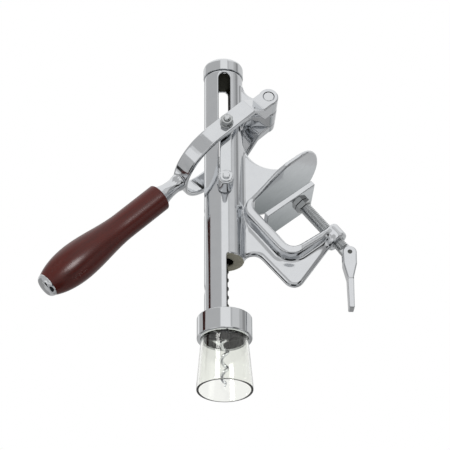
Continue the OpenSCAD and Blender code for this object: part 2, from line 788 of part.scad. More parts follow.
// Places its children on the handle's pin, with z up the hanging handle
module on_fold_pin() {
    p = jaw_point(0, eye_z);
    translate([p[0], 0, p[1]]) children();
}

module folding_handle() {
    cheek_out = eye_t / 2 + gap + cheek_t;
    fork = screw_r + 2;
    neck = [cheek_r * 0.97, -11];
    foot_z = -24;
    color(chrome) on_fold_pin() difference() {
        union() {
            crossbar([0, 0], cheek_r, -cheek_out, cheek_out);
            plate([[-cheek_r, 0], [-neck[0], neck[1]], [-shank_w / 2, foot_z],
                   [-shank_w / 2, foot_z - 1], [shank_w / 2, foot_z - 1], [shank_w / 2, foot_z],
                   [neck[0], neck[1]], [cheek_r, 0]], -cheek_out, cheek_out);
            plate([[-shank_end_w / 2, -fold_len], [-shank_w / 2, foot_z], [shank_w / 2, foot_z],
                   [shank_end_w / 2, -fold_len]], -cheek_out + 1.2, cheek_out - 1.2);
        }
        translate([-far / 2, -eye_t / 2 - gap, -fork]) cube([far, eye_t + 2 * gap, far]);
        crossbar([0, 0], fold_pin_r + fit, -far, far);
    }
}

module folding_pin()
    color(steel) on_fold_pin() let (half = eye_t / 2 + gap + cheek_t - 0.5)
        crossbar([0, 0], fold_pin_r, -half, half);

frame_casting();
top_cap();
bell_collar();
clear_bell();
bottle_stop();
drive_nut();
follower_pins();
nut_set_screw();
shell_screw();
pivot_pin();
lever_yoke();
wooden_handle();
handle_rod();
handle_end_cap();
lever_bolts();
lever_washers();
lever_nuts();
link_spacers();
near_link();
far_link();
link_studs();
slider();
slider_studs();
spindle();
thrust_washer();
retaining_nut();
worm();
swivel_pad();
clamp_screw();
pad_nut();
folding_handle();
folding_pin();
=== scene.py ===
"""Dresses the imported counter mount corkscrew: modelled pieces, finishes, studio and camera.

Places are in millimetres in the part's own frame: Z up the tube, the origin at the centre of
the bell's mouth, +X to the counter clamp.
"""

import json
import logging
import math
from collections.abc import Callable, Iterable, Sequence
from dataclasses import dataclass
from enum import Enum
from typing import Any

import bmesh
import bpy
from mathutils import Matrix, Vector

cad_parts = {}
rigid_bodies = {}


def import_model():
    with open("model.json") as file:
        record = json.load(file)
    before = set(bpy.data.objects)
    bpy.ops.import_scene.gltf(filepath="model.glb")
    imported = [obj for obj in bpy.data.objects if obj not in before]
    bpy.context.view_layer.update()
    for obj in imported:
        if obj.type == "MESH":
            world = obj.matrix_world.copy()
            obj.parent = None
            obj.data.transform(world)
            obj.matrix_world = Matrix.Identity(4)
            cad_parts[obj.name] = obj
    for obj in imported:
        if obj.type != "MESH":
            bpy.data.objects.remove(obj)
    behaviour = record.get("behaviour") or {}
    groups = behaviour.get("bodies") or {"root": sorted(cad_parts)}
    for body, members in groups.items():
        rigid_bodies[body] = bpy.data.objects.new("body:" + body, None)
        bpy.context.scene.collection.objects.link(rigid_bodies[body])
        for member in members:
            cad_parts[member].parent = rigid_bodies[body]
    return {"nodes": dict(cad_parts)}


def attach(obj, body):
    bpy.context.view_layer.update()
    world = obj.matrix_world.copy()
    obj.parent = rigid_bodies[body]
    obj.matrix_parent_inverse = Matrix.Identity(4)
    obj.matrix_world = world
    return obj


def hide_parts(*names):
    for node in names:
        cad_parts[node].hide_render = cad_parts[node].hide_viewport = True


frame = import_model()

log = logging.getLogger("corkscrew")

MM = 0.001
WELD = 0.002

Pair = tuple[float, float]
Triple = tuple[float, float, float]


class Body(Enum):
    """The bodies that modelled pieces ride on."""

    FRAME = "frame"
    LEVER = "lever"
    LINKS = "links"
    SPINDLE = "spindle"
    PAD = "pad"
    SCREW = "clamp_screw"
    HANDLE = "folding_handle"


class Slot(Enum):
    """The record's material slots, passed along with the modelled pieces."""

    CHROME = "chrome"
    STEEL = "steel"
    WOOD = "wood"
    CLEAR = "clear_plastic"


class Plane(Enum):
    """The plane in which an outline is drawn: seen from the near side, or from above."""

    SIDE = "side"
    PLAN = "plan"


# Shapes -----------------------------------------------------------------------


def arc(centre: Pair, radius: float, start: float, end: float, steps: int = 12) -> list[Pair]:
    """Lists points on an arc.

    Args:
        centre: Middle of the arc.
        radius: Its radius.
        start: First angle in degrees.
        end: Last angle in degrees.
        steps: Number of steps between them.

    Returns:
        The points, both ends included.
    """
    angles = [math.radians(start + (end - start) * i / steps) for i in range(steps + 1)]
    return [(centre[0] + radius * math.cos(a), centre[1] + radius * math.sin(a)) for a in angles]


def ease(share: float) -> float:
    """Returns a smooth step from 0 to 1."""
    s = min(max(share, 0.0), 1.0)
    return s * s * (3 - 2 * s)


def shared_tangent(a: Pair, b: Pair, radius: float, way: int) -> float:
    """Returns the direction, in degrees, of a line that touches two rounded corners."""
    span = math.hypot(b[0] - a[0], b[1] - a[1])
    return math.degrees(math.atan2(b[1] - a[1], b[0] - a[0]) - way * math.asin(radius / span))


def clear_selection() -> None:
    """Deselects every object."""
    bpy.ops.object.select_all(action="DESELECT")


def apply_place() -> None:
    """Writes the active object's place, turn and scale into its mesh."""
    bpy.ops.object.transform_apply(location=True, rotation=True, scale=True)


@dataclass(frozen=True)
class Seat:
    """A place on the part with its own axes."""

    matrix: Matrix

    @classmethod
    def at(cls, x: float, z: float, tilt: float = 0.0, turn: float = 0.0) -> "Seat":
        """Makes a seat in the middle plane.

        Args:
            x: Place along X.
            z: Height.
            tilt: Turn about Y in degrees, from X towards Z.
            turn: Turn about the seat's own Z in degrees, before the tilt.

        Returns:
            The seat.
        """
        tilted = Matrix.Rotation(math.radians(-tilt), 4, "Y")
        turned = Matrix.Rotation(math.radians(turn), 4, "Z")
        return cls(Matrix.Translation((x * MM, 0, z * MM)) @ tilted @ turned)

    def point(self, x: float, z: float) -> Pair:
        """Returns where a point [x, z] of the seat lies on the part, in millimetres."""
        place = self.matrix @ Vector((x * MM, 0, z * MM))
        return place.x / MM, place.z / MM


class Workpiece:
    """A mesh on the bench, shaped with Blender's operators in millimetres."""

    def __init__(self, name: str) -> None:
        """Takes up the object that an operator has just made."""
        self.obj = bpy.context.active_object
        self.obj.name = name
        self.obj.data.name = name

    @classmethod
    def wire(cls, name: str, points: Sequence[Triple], closed: bool) -> "Workpiece":
        """Draws a line from point to point by extruding one vertex.

        Args:
            name: Name of the piece.
            points: The line's points in millimetres.
            closed: Whether the last point joins the first.

        Returns:
            The workpiece, left in edit mode with all of it selected.
        """
        clear_selection()
        start = Vector(points[0]) * MM
        bpy.ops.mesh.primitive_plane_add(size=MM, location=start)
        piece = cls(name)
        apply_place()
        bpy.ops.object.mode_set(mode="EDIT")
        bpy.ops.mesh.select_mode(type="VERT")
        bpy.ops.mesh.merge(type="CENTER")
        path = [Vector(p) * MM for p in points] + ([start] if closed else [])
        for here, there in zip(path, path[1:]):
            bpy.ops.mesh.extrude_vertices_move(TRANSFORM_OT_translate={"value": there - here})
        bpy.ops.mesh.select_all(action="SELECT")
        bpy.ops.mesh.remove_doubles(threshold=WELD * MM)
        return piece

    @classmethod
    def turned(cls, name: str, profile: Sequence[Pair], sides: int = 96,
               closed: bool = False) -> "Workpiece":
        """Turns a profile about Z, as on a lathe.

        Args:
            name: Name of the piece.
            profile: Points as (radius, height); an open one starts and ends on the axis.
            sides: Number of sides round the axis.
            closed: Whether the profile closes on itself, as a ring's does.

        Returns:
            The workpiece in object mode.
        """
        piece = cls.wire(name, [(r, 0, z) for r, z in profile], closed)
        bpy.ops.mesh.spin(steps=sides, angle=math.tau, center=(0, 0, 0), axis=(0, 0, 1))
        return piece.close()

    @classmethod
    def sawn(cls, name: str, outline: Sequence[Pair], low: float, high: float,
             plane: Plane = Plane.SIDE) -> "Workpiece":
        """Saws a plate along an outline.

        Args:
            name: Name of the piece.
            outline: The outline's points.
            low: Place of one face, across the outline's plane.
            high: Place of the other face.
            plane: The plane of the outline.

        Returns:
            The workpiece in object mode.
        """
        side = plane is Plane.SIDE
        points = [(a, low, b) if side else (a, b, low) for a, b in outline]
        piece = cls.wire(name, points, closed=True)
        bpy.ops.mesh.edge_face_add()
        step = Vector((0, 1, 0) if side else (0, 0, 1)) * (high - low) * MM
        bpy.ops.mesh.extrude_region_move(TRANSFORM_OT_translate={"value": step})
        return piece.close()

    @classmethod
    def rod(cls, name: str, radius: float, low: float, high: float, edge: float = 0.0,
            sides: int = 64) -> "Workpiece":
        """Turns a plain round bar along Z, with its edges chamfered by edge."""
        if edge:
            profile = [(0, low), (radius - edge, low), (radius, low + edge),
                       (radius, high - edge), (radius - edge, high), (0, high)]
        else:
            profile = [(0, low), (radius, low), (radius, high), (0, high)]
        return cls.turned(name, profile, sides)

    @classmethod
    def block(cls, name: str, low: Triple, high: Triple) -> "Workpiece":
        """Cuts a block between two corners."""
        clear_selection()
        a, b = Vector(low) * MM, Vector(high) * MM
        bpy.ops.mesh.primitive_cube_add(size=1, location=(a + b) / 2, scale=b - a)
        piece = cls(name)
        apply_place()
        return piece

    @classmethod
    def nut(cls, name: str, flats: float, low: float, height: float, bore: float,
            trim: Triple, edge: float) -> "Workpiece":
        """Makes a hexagon nut along Z, with its lower corners turned down.

        Args:
            name: Name of the piece.
            flats: Width across the flats.
            low: Height of its lower face.
            height: Its thickness.
            bore: Radius of its hole.
            trim: How far the turning starts inside the flats, how far it ends outside the
                corners, and how high it rises between them.
            edge: Rounding of its edges.

        Returns:
            The workpiece.
        """
        corner = flats / 2 / math.cos(math.pi / 6)
        inside, outside, rise = trim
        start, clear = flats / 2 - inside, 9
        clear_selection()
        bpy.ops.mesh.primitive_cylinder_add(vertices=6, radius=corner * MM, depth=height * MM)
        hexagon = cls(name).shift(z=low + height / 2)
        tool = cls.turned("trim", [
            (start, low - 0.01), (corner + outside, low + rise), (corner + clear, low + rise),
            (corner + clear, low - 3), (start, low - 3)], 64, closed=True)
        hexagon.cut([tool, cls.rod("nut_hole", bore, low - 1, low + height + 1)])
        return hexagon.ease_edges(edge, 2, 25)

    @classmethod
    def copied(cls, name: str, node: str) -> "Workpiece":
        """Copies a CAD node and welds its loose triangles."""
        clear_selection()
        source = frame["nodes"][node]
        source.select_set(True)
        bpy.context.view_layer.objects.active = source
        bpy.ops.object.duplicate()
        bpy.ops.object.parent_clear(type="CLEAR_KEEP_TRANSFORM")
        piece = cls(name)
        apply_place()
        bpy.ops.object.mode_set(mode="EDIT")
        return piece.close()

    def close(self) -> "Workpiece":
        """Welds doubles, turns the faces outwards and leaves edit mode."""
        bpy.ops.mesh.select_all(action="SELECT")
        bpy.ops.mesh.remove_doubles(threshold=WELD * MM)
        bpy.ops.mesh.normals_make_consistent(inside=False)
        bpy.ops.object.mode_set(mode="OBJECT")
        return self

    def grip(self) -> "Workpiece":
        """Makes this the only selected object."""
        clear_selection()
        self.obj.select_set(True)
        bpy.context.view_layer.objects.active = self.obj
        return self

    def place(self, matrix: Matrix) -> "Workpiece":
        """Moves the piece by a matrix and applies it to the mesh."""
        self.grip()
        self.obj.matrix_world = matrix @ self.obj.matrix_world
        apply_place()
        return self

    def crosswise(self) -> "Workpiece":
        """Lays a piece that was turned about Z along Y."""
        return self.place(Matrix.Rotation(math.radians(-90), 4, "X"))

    def lengthwise(self) -> "Workpiece":
        """Lays a piece that was turned about Z along X."""
        return self.place(Matrix.Rotation(math.radians(90), 4, "Y"))

    def shift(self, x: float = 0.0, y: float = 0.0, z: float = 0.0) -> "Workpiece":
        """Moves the piece."""
        return self.place(Matrix.Translation(Vector((x, y, z)) * MM))

    def mirrored(self, name: str) -> "Workpiece":
        """Makes the same piece for the other side of the middle plane."""
        self.grip()
        bpy.ops.object.duplicate()
        twin = Workpiece(name)
        twin.place(Matrix.Scale(-1, 4, (0, 1, 0)))
        bpy.ops.object.mode_set(mode="EDIT")
        return twin.close()

    def modify(self, kind: str, **settings: Any) -> "Workpiece":
        """Adds a modifier with its settings and applies it."""
        self.grip()
        modifier = self.obj.modifiers.new(kind.title(), kind)
        for key, value in settings.items():
            setattr(modifier, key, value)
        bpy.ops.object.modifier_apply(modifier=modifier.name)
        return self

    def ease_edges(self, width: float, segments: int = 3, angle: float = 40,
                   clamp: bool = True) -> "Workpiece":
        """Rounds every edge sharper than an angle.

        Args:
            width: Width of the rounding in millimetres.
            segments: Number of faces across it.
            angle: Edges sharper than this are rounded, in degrees.
            clamp: Whether short edges narrow the rounding of the whole piece.

        Returns:
            The same workpiece.
        """
        return self.modify("BEVEL", width=width * MM, segments=segments, limit_method="ANGLE",
                           angle_limit=math.radians(angle), use_clamp_overlap=clamp)

    def join(self, others: Iterable["Workpiece"]) -> "Workpiece":
        """Takes other pieces into this mesh."""
        clear_selection()
        for other in others:
            other.obj.select_set(True)
        self.obj.select_set(True)
        bpy.context.view_layer.objects.active = self.obj
        bpy.ops.object.join()
        return self

    def cut(self, tools: Sequence["Workpiece"], solver: str = "EXACT") -> "Workpiece":
        """Cuts other pieces out of this one."""
        for tool in tools:
            self.modify("BOOLEAN", operation="DIFFERENCE", object=tool.obj, solver=solver)
            bpy.data.objects.remove(tool.obj)
        return self

    def cast(self, grain: float, smoothing: int) -> "Workpiece":
        """Melts overlapping solids into one skin, as in a casting.

        Args:
            grain: Size of the new mesh's faces in millimetres.
            smoothing: Rounds of smoothing, which fill the inner corners.

        Returns:
            The same workpiece.
        """
        self.modify("REMESH", mode="VOXEL", voxel_size=grain * MM, use_smooth_shade=True)
        return self.modify("SMOOTH", factor=0.5, iterations=smoothing)

    def fill_corners(self, grain: float, reach: int, rounds: int) -> "Workpiece":
        """Fills a casting's inner corners with soft fillets and leaves its rims alone.

        Args:
            grain: Size of the mesh's faces in millimetres.
            reach: How many faces a fillet reaches from its corner.
            rounds: Rounds of smoothing.

        Returns:
            The same workpiece.
        """
        self.grip()
        bpy.ops.object.mode_set(mode="EDIT")
        bpy.ops.mesh.select_mode(type="VERT")
        bpy.ops.mesh.select_all(action="DESELECT")
        mesh = bmesh.from_edit_mesh(self.obj.data)
        for vert in mesh.verts:
            around = [edge.other_vert(vert).co for edge in vert.link_edges]
            middle = sum(around, Vector()) / max(1, len(around))
            vert.select_set((middle - vert.co).dot(vert.normal) > 0.1 * grain * MM)
        mesh.select_flush(True)
        bmesh.update_edit_mesh(self.obj.data)
        for _ in range(reach):
            bpy.ops.mesh.select_more()
        bpy.ops.mesh.vertices_smooth(factor=0.5, repeat=rounds)
        bpy.ops.object.mode_set(mode="OBJECT")
        return self

    def faces(self, test: Callable[[Vector, Vector], bool]) -> "Workpiece":
        """Enters edit mode with the faces selected that pass a test.

        Args:
            test: Gets a face's centre in millimetres and its normal.

        Returns:
            The same workpiece, in edit mode.
        """
        self.grip()
        bpy.ops.object.mode_set(mode="EDIT")
        bpy.ops.mesh.select_mode(type="FACE")
        bpy.ops.mesh.select_all(action="DESELECT")
        mesh = bmesh.from_edit_mesh(self.obj.data)
        for face in mesh.faces:
            face.select_set(test(face.calc_center_median() / MM, face.normal))
        bmesh.update_edit_mesh(self.obj.data)
        return self

    def paint(self, finish: "Finish") -> "Workpiece":
        """Gives the selected faces a finish of their own and leaves edit mode."""
        self.obj.data.materials.append(finish.material())
        self.obj.active_material_index = len(self.obj.data.materials) - 1
        bpy.ops.object.material_slot_assign()
        bpy.ops.object.mode_set(mode="OBJECT")
        return self

    def finish(self, finish: "Finish", body: Body, slot: Slot, nodes: Sequence[str],
               angle: float = 35) -> "Workpiece":
        """Shades and dresses the piece, and fixes it to its body.

        Args:
            finish: The finish of the whole piece.
            body: The body that it rides on.
            slot: The record's material slot; not used.
            nodes: The CAD nodes that it stands for.
            angle: Edges sharper than this stay crisp, in degrees.

        Returns:
            The same workpiece.
        """
        self.grip()
        bpy.ops.object.shade_smooth_by_angle(angle=math.radians(angle))
        self.modify("WEIGHTED_NORMAL", keep_sharp=True)
        self.obj.data.materials.clear()
        self.obj.data.materials.append(finish.material())
        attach(self.obj, body.value)
        if nodes:
            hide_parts(*nodes)
        log.info("%s: %d faces on %s", self.obj.name, len(self.obj.data.polygons), body.value)
        return self


# Finishes ---------------------------------------------------------------------


def linear(hexcode: str) -> tuple[float, float, float, float]:
    """Turns an sRGB hex colour to linear light."""
    parts = [int(hexcode[i:i + 2], 16) / 255 for i in (1, 3, 5)]
    light = [p / 12.92 if p <= 0.04045 else ((p + 0.055) / 1.055) ** 2.4 for p in parts]
    return light[0], light[1], light[2], 1.0


def plug(tree: bpy.types.NodeTree, node: bpy.types.Node, sockets: dict[Any, Any]) -> None:
    """Sets a node's inputs.

    Args:
        tree: The node tree.
        node: The node.
        sockets: A value or another node's output for each input.
    """
    for key, value in sockets.items():
        if isinstance(value, bpy.types.NodeSocket):
            tree.links.new(value, node.inputs[key])
        else:
            node.inputs[key].default_value = value


def add_node(tree: bpy.types.NodeTree, kind: str, sockets: dict[Any, Any] | None = None,
             stops: Sequence[tuple[float, str]] = (), **settings: Any) -> bpy.types.Node:
    """Adds one node with its settings and links.

    Args:
        tree: The node tree.
        kind: The node's type.
        sockets: Values or other nodes' outputs for its inputs.
        stops: Places and hex colours, for a colour ramp.
        settings: The node's own settings.

    Returns:
        The node.
    """
    node = tree.nodes.new(kind)
    for key, value in settings.items():
        setattr(node, key, value)
    plug(tree, node, sockets or {})
    for index, (place, colour) in enumerate(stops):
        elements = node.color_ramp.elements
        element = elements[index] if index < 2 else elements.new(place)
        element.position = place
        element.color = linear(colour)
    return node


def own_place(tree: bpy.types.NodeTree) -> bpy.types.NodeSocket:
    """Adds the piece's own coordinates, which stay with it when it moves."""
    return add_node(tree, "ShaderNodeTexCoord").outputs["Object"]


def noise(tree: bpy.types.NodeTree, place: bpy.types.NodeSocket, size: float,
          **inputs: float) -> bpy.types.NodeSocket:
    """Adds noise.

    Args:
        tree: The node tree.
        place: The coordinates.
        size: Size of its spots in millimetres.
        inputs: The noise's other inputs.

    Returns:
        Its level from 0 to 1.
    """
    return add_node(tree, "ShaderNodeTexNoise", {
        "Vector": place, "Scale": 1 / (size * MM), **inputs}).outputs["Fac"]


def bump(tree: bpy.types.NodeTree, height: bpy.types.NodeSocket, depth: float,
         **inputs: Any) -> bpy.types.NodeSocket:
    """Adds a bump.

    Args:
        tree: The node tree.
        height: The level that the bump follows.
        depth: Its depth in millimetres.
        inputs: The bump's other inputs.

    Returns:
        The bent normal.
    """
    return add_node(tree, "ShaderNodeBump", {
        "Height": height, "Distance": depth * MM, **inputs}).outputs["Normal"]


def start_material(name: str) -> tuple[bpy.types.Material, bpy.types.NodeTree, bpy.types.Node]:
    """Makes a material that holds only a shader and its output."""
    material = bpy.data.materials.new(name)
    material.use_nodes = True
    tree = material.node_tree
    tree.nodes.clear()
    shader = add_node(tree, "ShaderNodeBsdfPrincipled")
    add_node(tree, "ShaderNodeOutputMaterial", {"Surface": shader.outputs["BSDF"]})
    return material, tree, shader


@dataclass(frozen=True)
class Finish:
    """A finish: what the piece is made of and how its surface was made."""

    name: str

    def material(self) -> bpy.types.Material:
        """Returns the material, made once."""
        return bpy.data.materials.get(self.name) or self.build()

    def build(self) -> bpy.types.Material:
        """Builds the material."""
        raise NotImplementedError


@dataclass(frozen=True)
class Metal(Finish):
    """A metal surface with soft waves from casting and polishing, and fine wear.

    The waves bend the reflections a little, and the wear varies the gloss.
    """

    colour: str
    worn: str
    roughness: float
    spread: float
    wave_size: float
    wave_height: float
    grit_size: float = 0.4
    grit_height: float = 0.0
    metallic: float = 1.0
    wear_size: float = 9

    def build(self) -> bpy.types.Material:
        """Builds the metal's material."""
        material, tree, shader = start_material(self.name)
        place = own_place(tree)
        cloud = noise(tree, place, self.wear_size, Detail=4.0, Roughness=0.6)
        tone = add_node(tree, "ShaderNodeMix", {
            "Factor": cloud, 6: linear(self.colour), 7: linear(self.worn)}, data_type="RGBA")
        gloss = add_node(tree, "ShaderNodeMapRange", {
            "Value": cloud, "From Min": 0.3, "From Max": 0.7,
            "To Min": self.roughness, "To Max": self.roughness + self.spread})
        bent = bump(tree, noise(tree, place, self.wave_size, Detail=1.0), self.wave_height)
        if self.grit_height:
            bent = bump(tree, noise(tree, place, self.grit_size, Detail=3.0),
                        self.grit_height, Normal=bent)
        plug(tree, shader, {"Base Color": tone.outputs[2], "Roughness": gloss.outputs["Result"],
                            "Normal": bent, "Metallic": self.metallic})
        return material


@dataclass(frozen=True)
class StainedWood(Finish):
    """Turned hardwood, stained dark red and lacquered.

    The stain hides most of the grain, and the lacquer gives a soft sheen. Its scales are
    counts per metre: fibres 1.4 mm wide, drawn coarser than real ones so that they show in a
    small picture, and clouds 11 mm wide.
    """

    stain: str
    grain: str
    warm: str
    along: float
    fibre_scale: Triple = (30, 700, 700)
    cloud_scale: Triple = (12, 90, 90)
    pore_depth: float = 0.01
    dull: float = 0.34
    shiny: float = 0.28

    def build(self) -> bpy.types.Material:
        """Builds the wood's material, with its grain along the lever."""
        material, tree, shader = start_material(self.name)
        laid = add_node(tree, "ShaderNodeMapping", {
            "Vector": own_place(tree), "Rotation": (0, math.radians(self.along), 0)})
        fibres, clouds = (add_node(tree, "ShaderNodeMapping", {
            "Vector": laid.outputs["Vector"], "Scale": scale}).outputs["Vector"]
            for scale in (self.fibre_scale, self.cloud_scale))
        fibre = add_node(tree, "ShaderNodeTexNoise", {
            "Vector": fibres, "Scale": 1.0, "Detail": 5.0, "Roughness": 0.65,
            "Distortion": 0.4}).outputs["Fac"]
        cloud = add_node(tree, "ShaderNodeTexNoise", {
            "Vector": clouds, "Scale": 1.0, "Detail": 2.0}).outputs["Fac"]
        fine = add_node(tree, "ShaderNodeValToRGB", {"Fac": fibre},
                        [(0.35, self.grain), (0.6, self.stain)])
        tone = add_node(tree, "ShaderNodeMix", {
            "Factor": cloud, 6: fine.outputs["Color"], 7: linear(self.warm)},
            data_type="RGBA")
        gloss = add_node(tree, "ShaderNodeMapRange", {
            "Value": fibre, "To Min": self.dull, "To Max": self.shiny})
        plug(tree, shader, {
            "Base Color": tone.outputs[2], "Roughness": gloss.outputs["Result"],
            "Normal": bump(tree, fibre, self.pore_depth, Strength=0.15),
            "Specular IOR Level": 0.3, "Coat Weight": 0.15, "Coat Roughness": 0.2})
        return material


@dataclass(frozen=True)
class ClearPlastic(Finish):
    """Moulded clear acrylic, a little greenish where it is thick, with faint flow marks."""

    tint: str
    flow_size: float = 8
    flow_depth: float = 0.02

    def build(self) -> bpy.types.Material:
        """Builds the plastic's material."""
        material, tree, shader = start_material(self.name)
        flow = noise(tree, own_place(tree), self.flow_size)
        gloss = add_node(tree, "ShaderNodeMapRange", {
            "Value": flow, "To Min": 0.01, "To Max": 0.05})
        plug(tree, shader, {
            "Base Color": linear(self.tint), "Roughness": gloss.outputs["Result"],
            "Normal": bump(tree, flow, self.flow_depth), "Transmission Weight": 1.0,
            "IOR": 1.49})
        return material


@dataclass(frozen=True)
class Rubber(Finish):
    """Moulded black rubber, dull with a fine bloom."""

    colour: str
    bloom: str
    dust_size: float = 1.5
    dust_depth: float = 0.03

    def build(self) -> bpy.types.Material:
        """Builds the rubber's material."""
        material, tree, shader = start_material(self.name)
        dust = noise(tree, own_place(tree), self.dust_size, Detail=5.0)
        tone = add_node(tree, "ShaderNodeValToRGB", {"Fac": dust},
                        [(0.4, self.colour), (0.8, self.bloom)])
        plug(tree, shader, {"Base Color": tone.outputs["Color"], "Roughness": 0.7,
                            "Normal": bump(tree, dust, self.dust_depth)})
        return material


# A near mirror, faintly wavy, with no colour of its own.
CHROME = Metal("polished_chrome_plate", "#D9DBDD", "#D2D4D6", 0.05, 0.05, 14, 0.030)
# The same mirror over a casting, so its reflections swim more.
CAST_CHROME = Metal("chrome_plate_on_casting", "#D9DBDD", "#D0D2D5", 0.07, 0.06, 11, 0.055)
# A dull beige grain on the tube's cut end above the half shell.
RAW_CASTING = Metal("unplated_casting", "#B3B0A2", "#97947F", 0.48, 0.15, 6, 0.08,
                    grit_height=0.05, metallic=0.35)
# The unplated inside of the tube with painted shade: a dark olive grey, drawn darker than bare
# metal to stand for the shade in the bore.
BORE_PAINTED_SHADE = Metal("bore_painted_shade", "#3C3B2B", "#2E2D1F", 0.5, 0.12, 5, 0.03,
                      grit_height=0.02, metallic=0.6)
# A satin silver, softer than the chrome beside it.
ZINC_STEEL = Metal("zinc_plated_steel", "#D2D4D5", "#B9BBBC", 0.16, 0.10, 4, 0.012)
# A slightly darker bright steel, which sets the nuts off.
NUT_STEEL = Metal("bright_steel", "#C4C6C6", "#A4A6A6", 0.08, 0.06, 4, 0.02)
# A dark grey, darker than bare steel, so the spindle's ridges read as dark teeth.
DARK_STEEL = Metal("dark_grey_steel", "#6A6B69", "#4C4D4B", 0.26, 0.14, 4, 0.01)
# A warm brown metal, seen only through the tube's openings.
BRONZE = Metal("machined_bronze", "#B59A6B", "#96794C", 0.24, 0.14, 3, 0.01)
# A dark red brown with a soft sheen and hardly any grain.
STAINED_BEECH = StainedWood("stained_lacquered_beech", "#491109", "#2E0A05", "#59170B", 43.6)
# Clear walls that darken to grey green at the rims.
ACRYLIC = ClearPlastic("clear_acrylic", "#F3F4F0")
# A dull black edge inside the bell.
BLACK_RUBBER = Rubber("black_rubber", "#15150F", "#2A2A28")


def dress(nodes: Sequence[str], finish: Finish) -> None:
    """Gives CAD nodes whose shape is right a finish.

    Args:
        nodes: Names of the nodes.
        finish: Their finish.
    """
    for name in nodes:
        mesh = frame["nodes"][name].data
        mesh.materials.clear()
        mesh.materials.append(finish.material())
        log.info("%s: CAD shape in %s", name, finish.name)


# Places that several sub-assemblies share ----------------------------------------

JAWS = Seat.at(55.1, 200.3, tilt=39)
PIVOT: Pair = (39.2, 278.1)
REST_ANGLE = 43.6
LEVER = Seat.at(*PIVOT, tilt=REST_ANGLE, turn=180)
BOLT: Pair = (0.46, 241.2)
STUD: Pair = (0.0, 189.0)
TUBE_R = 17.5
BORE_R = 13.7


def cross_rod(name: str, place: Pair, radius: float, low: float, high: float,
              edge: float = 0.0) -> Workpiece:
    """Turns a round bar that lies across the part.

    Args:
        name: Name of the piece.
        place: Its axis as (x, z).
        radius: Its radius.
        low: Its near end along Y.
        high: Its far end along Y.
        edge: Chamfer of its ends.

    Returns:
        The workpiece.
    """
    bar = Workpiece.rod(name, radius, low, high, edge).crosswise()
    return bar.shift(place[0], 0, place[1])


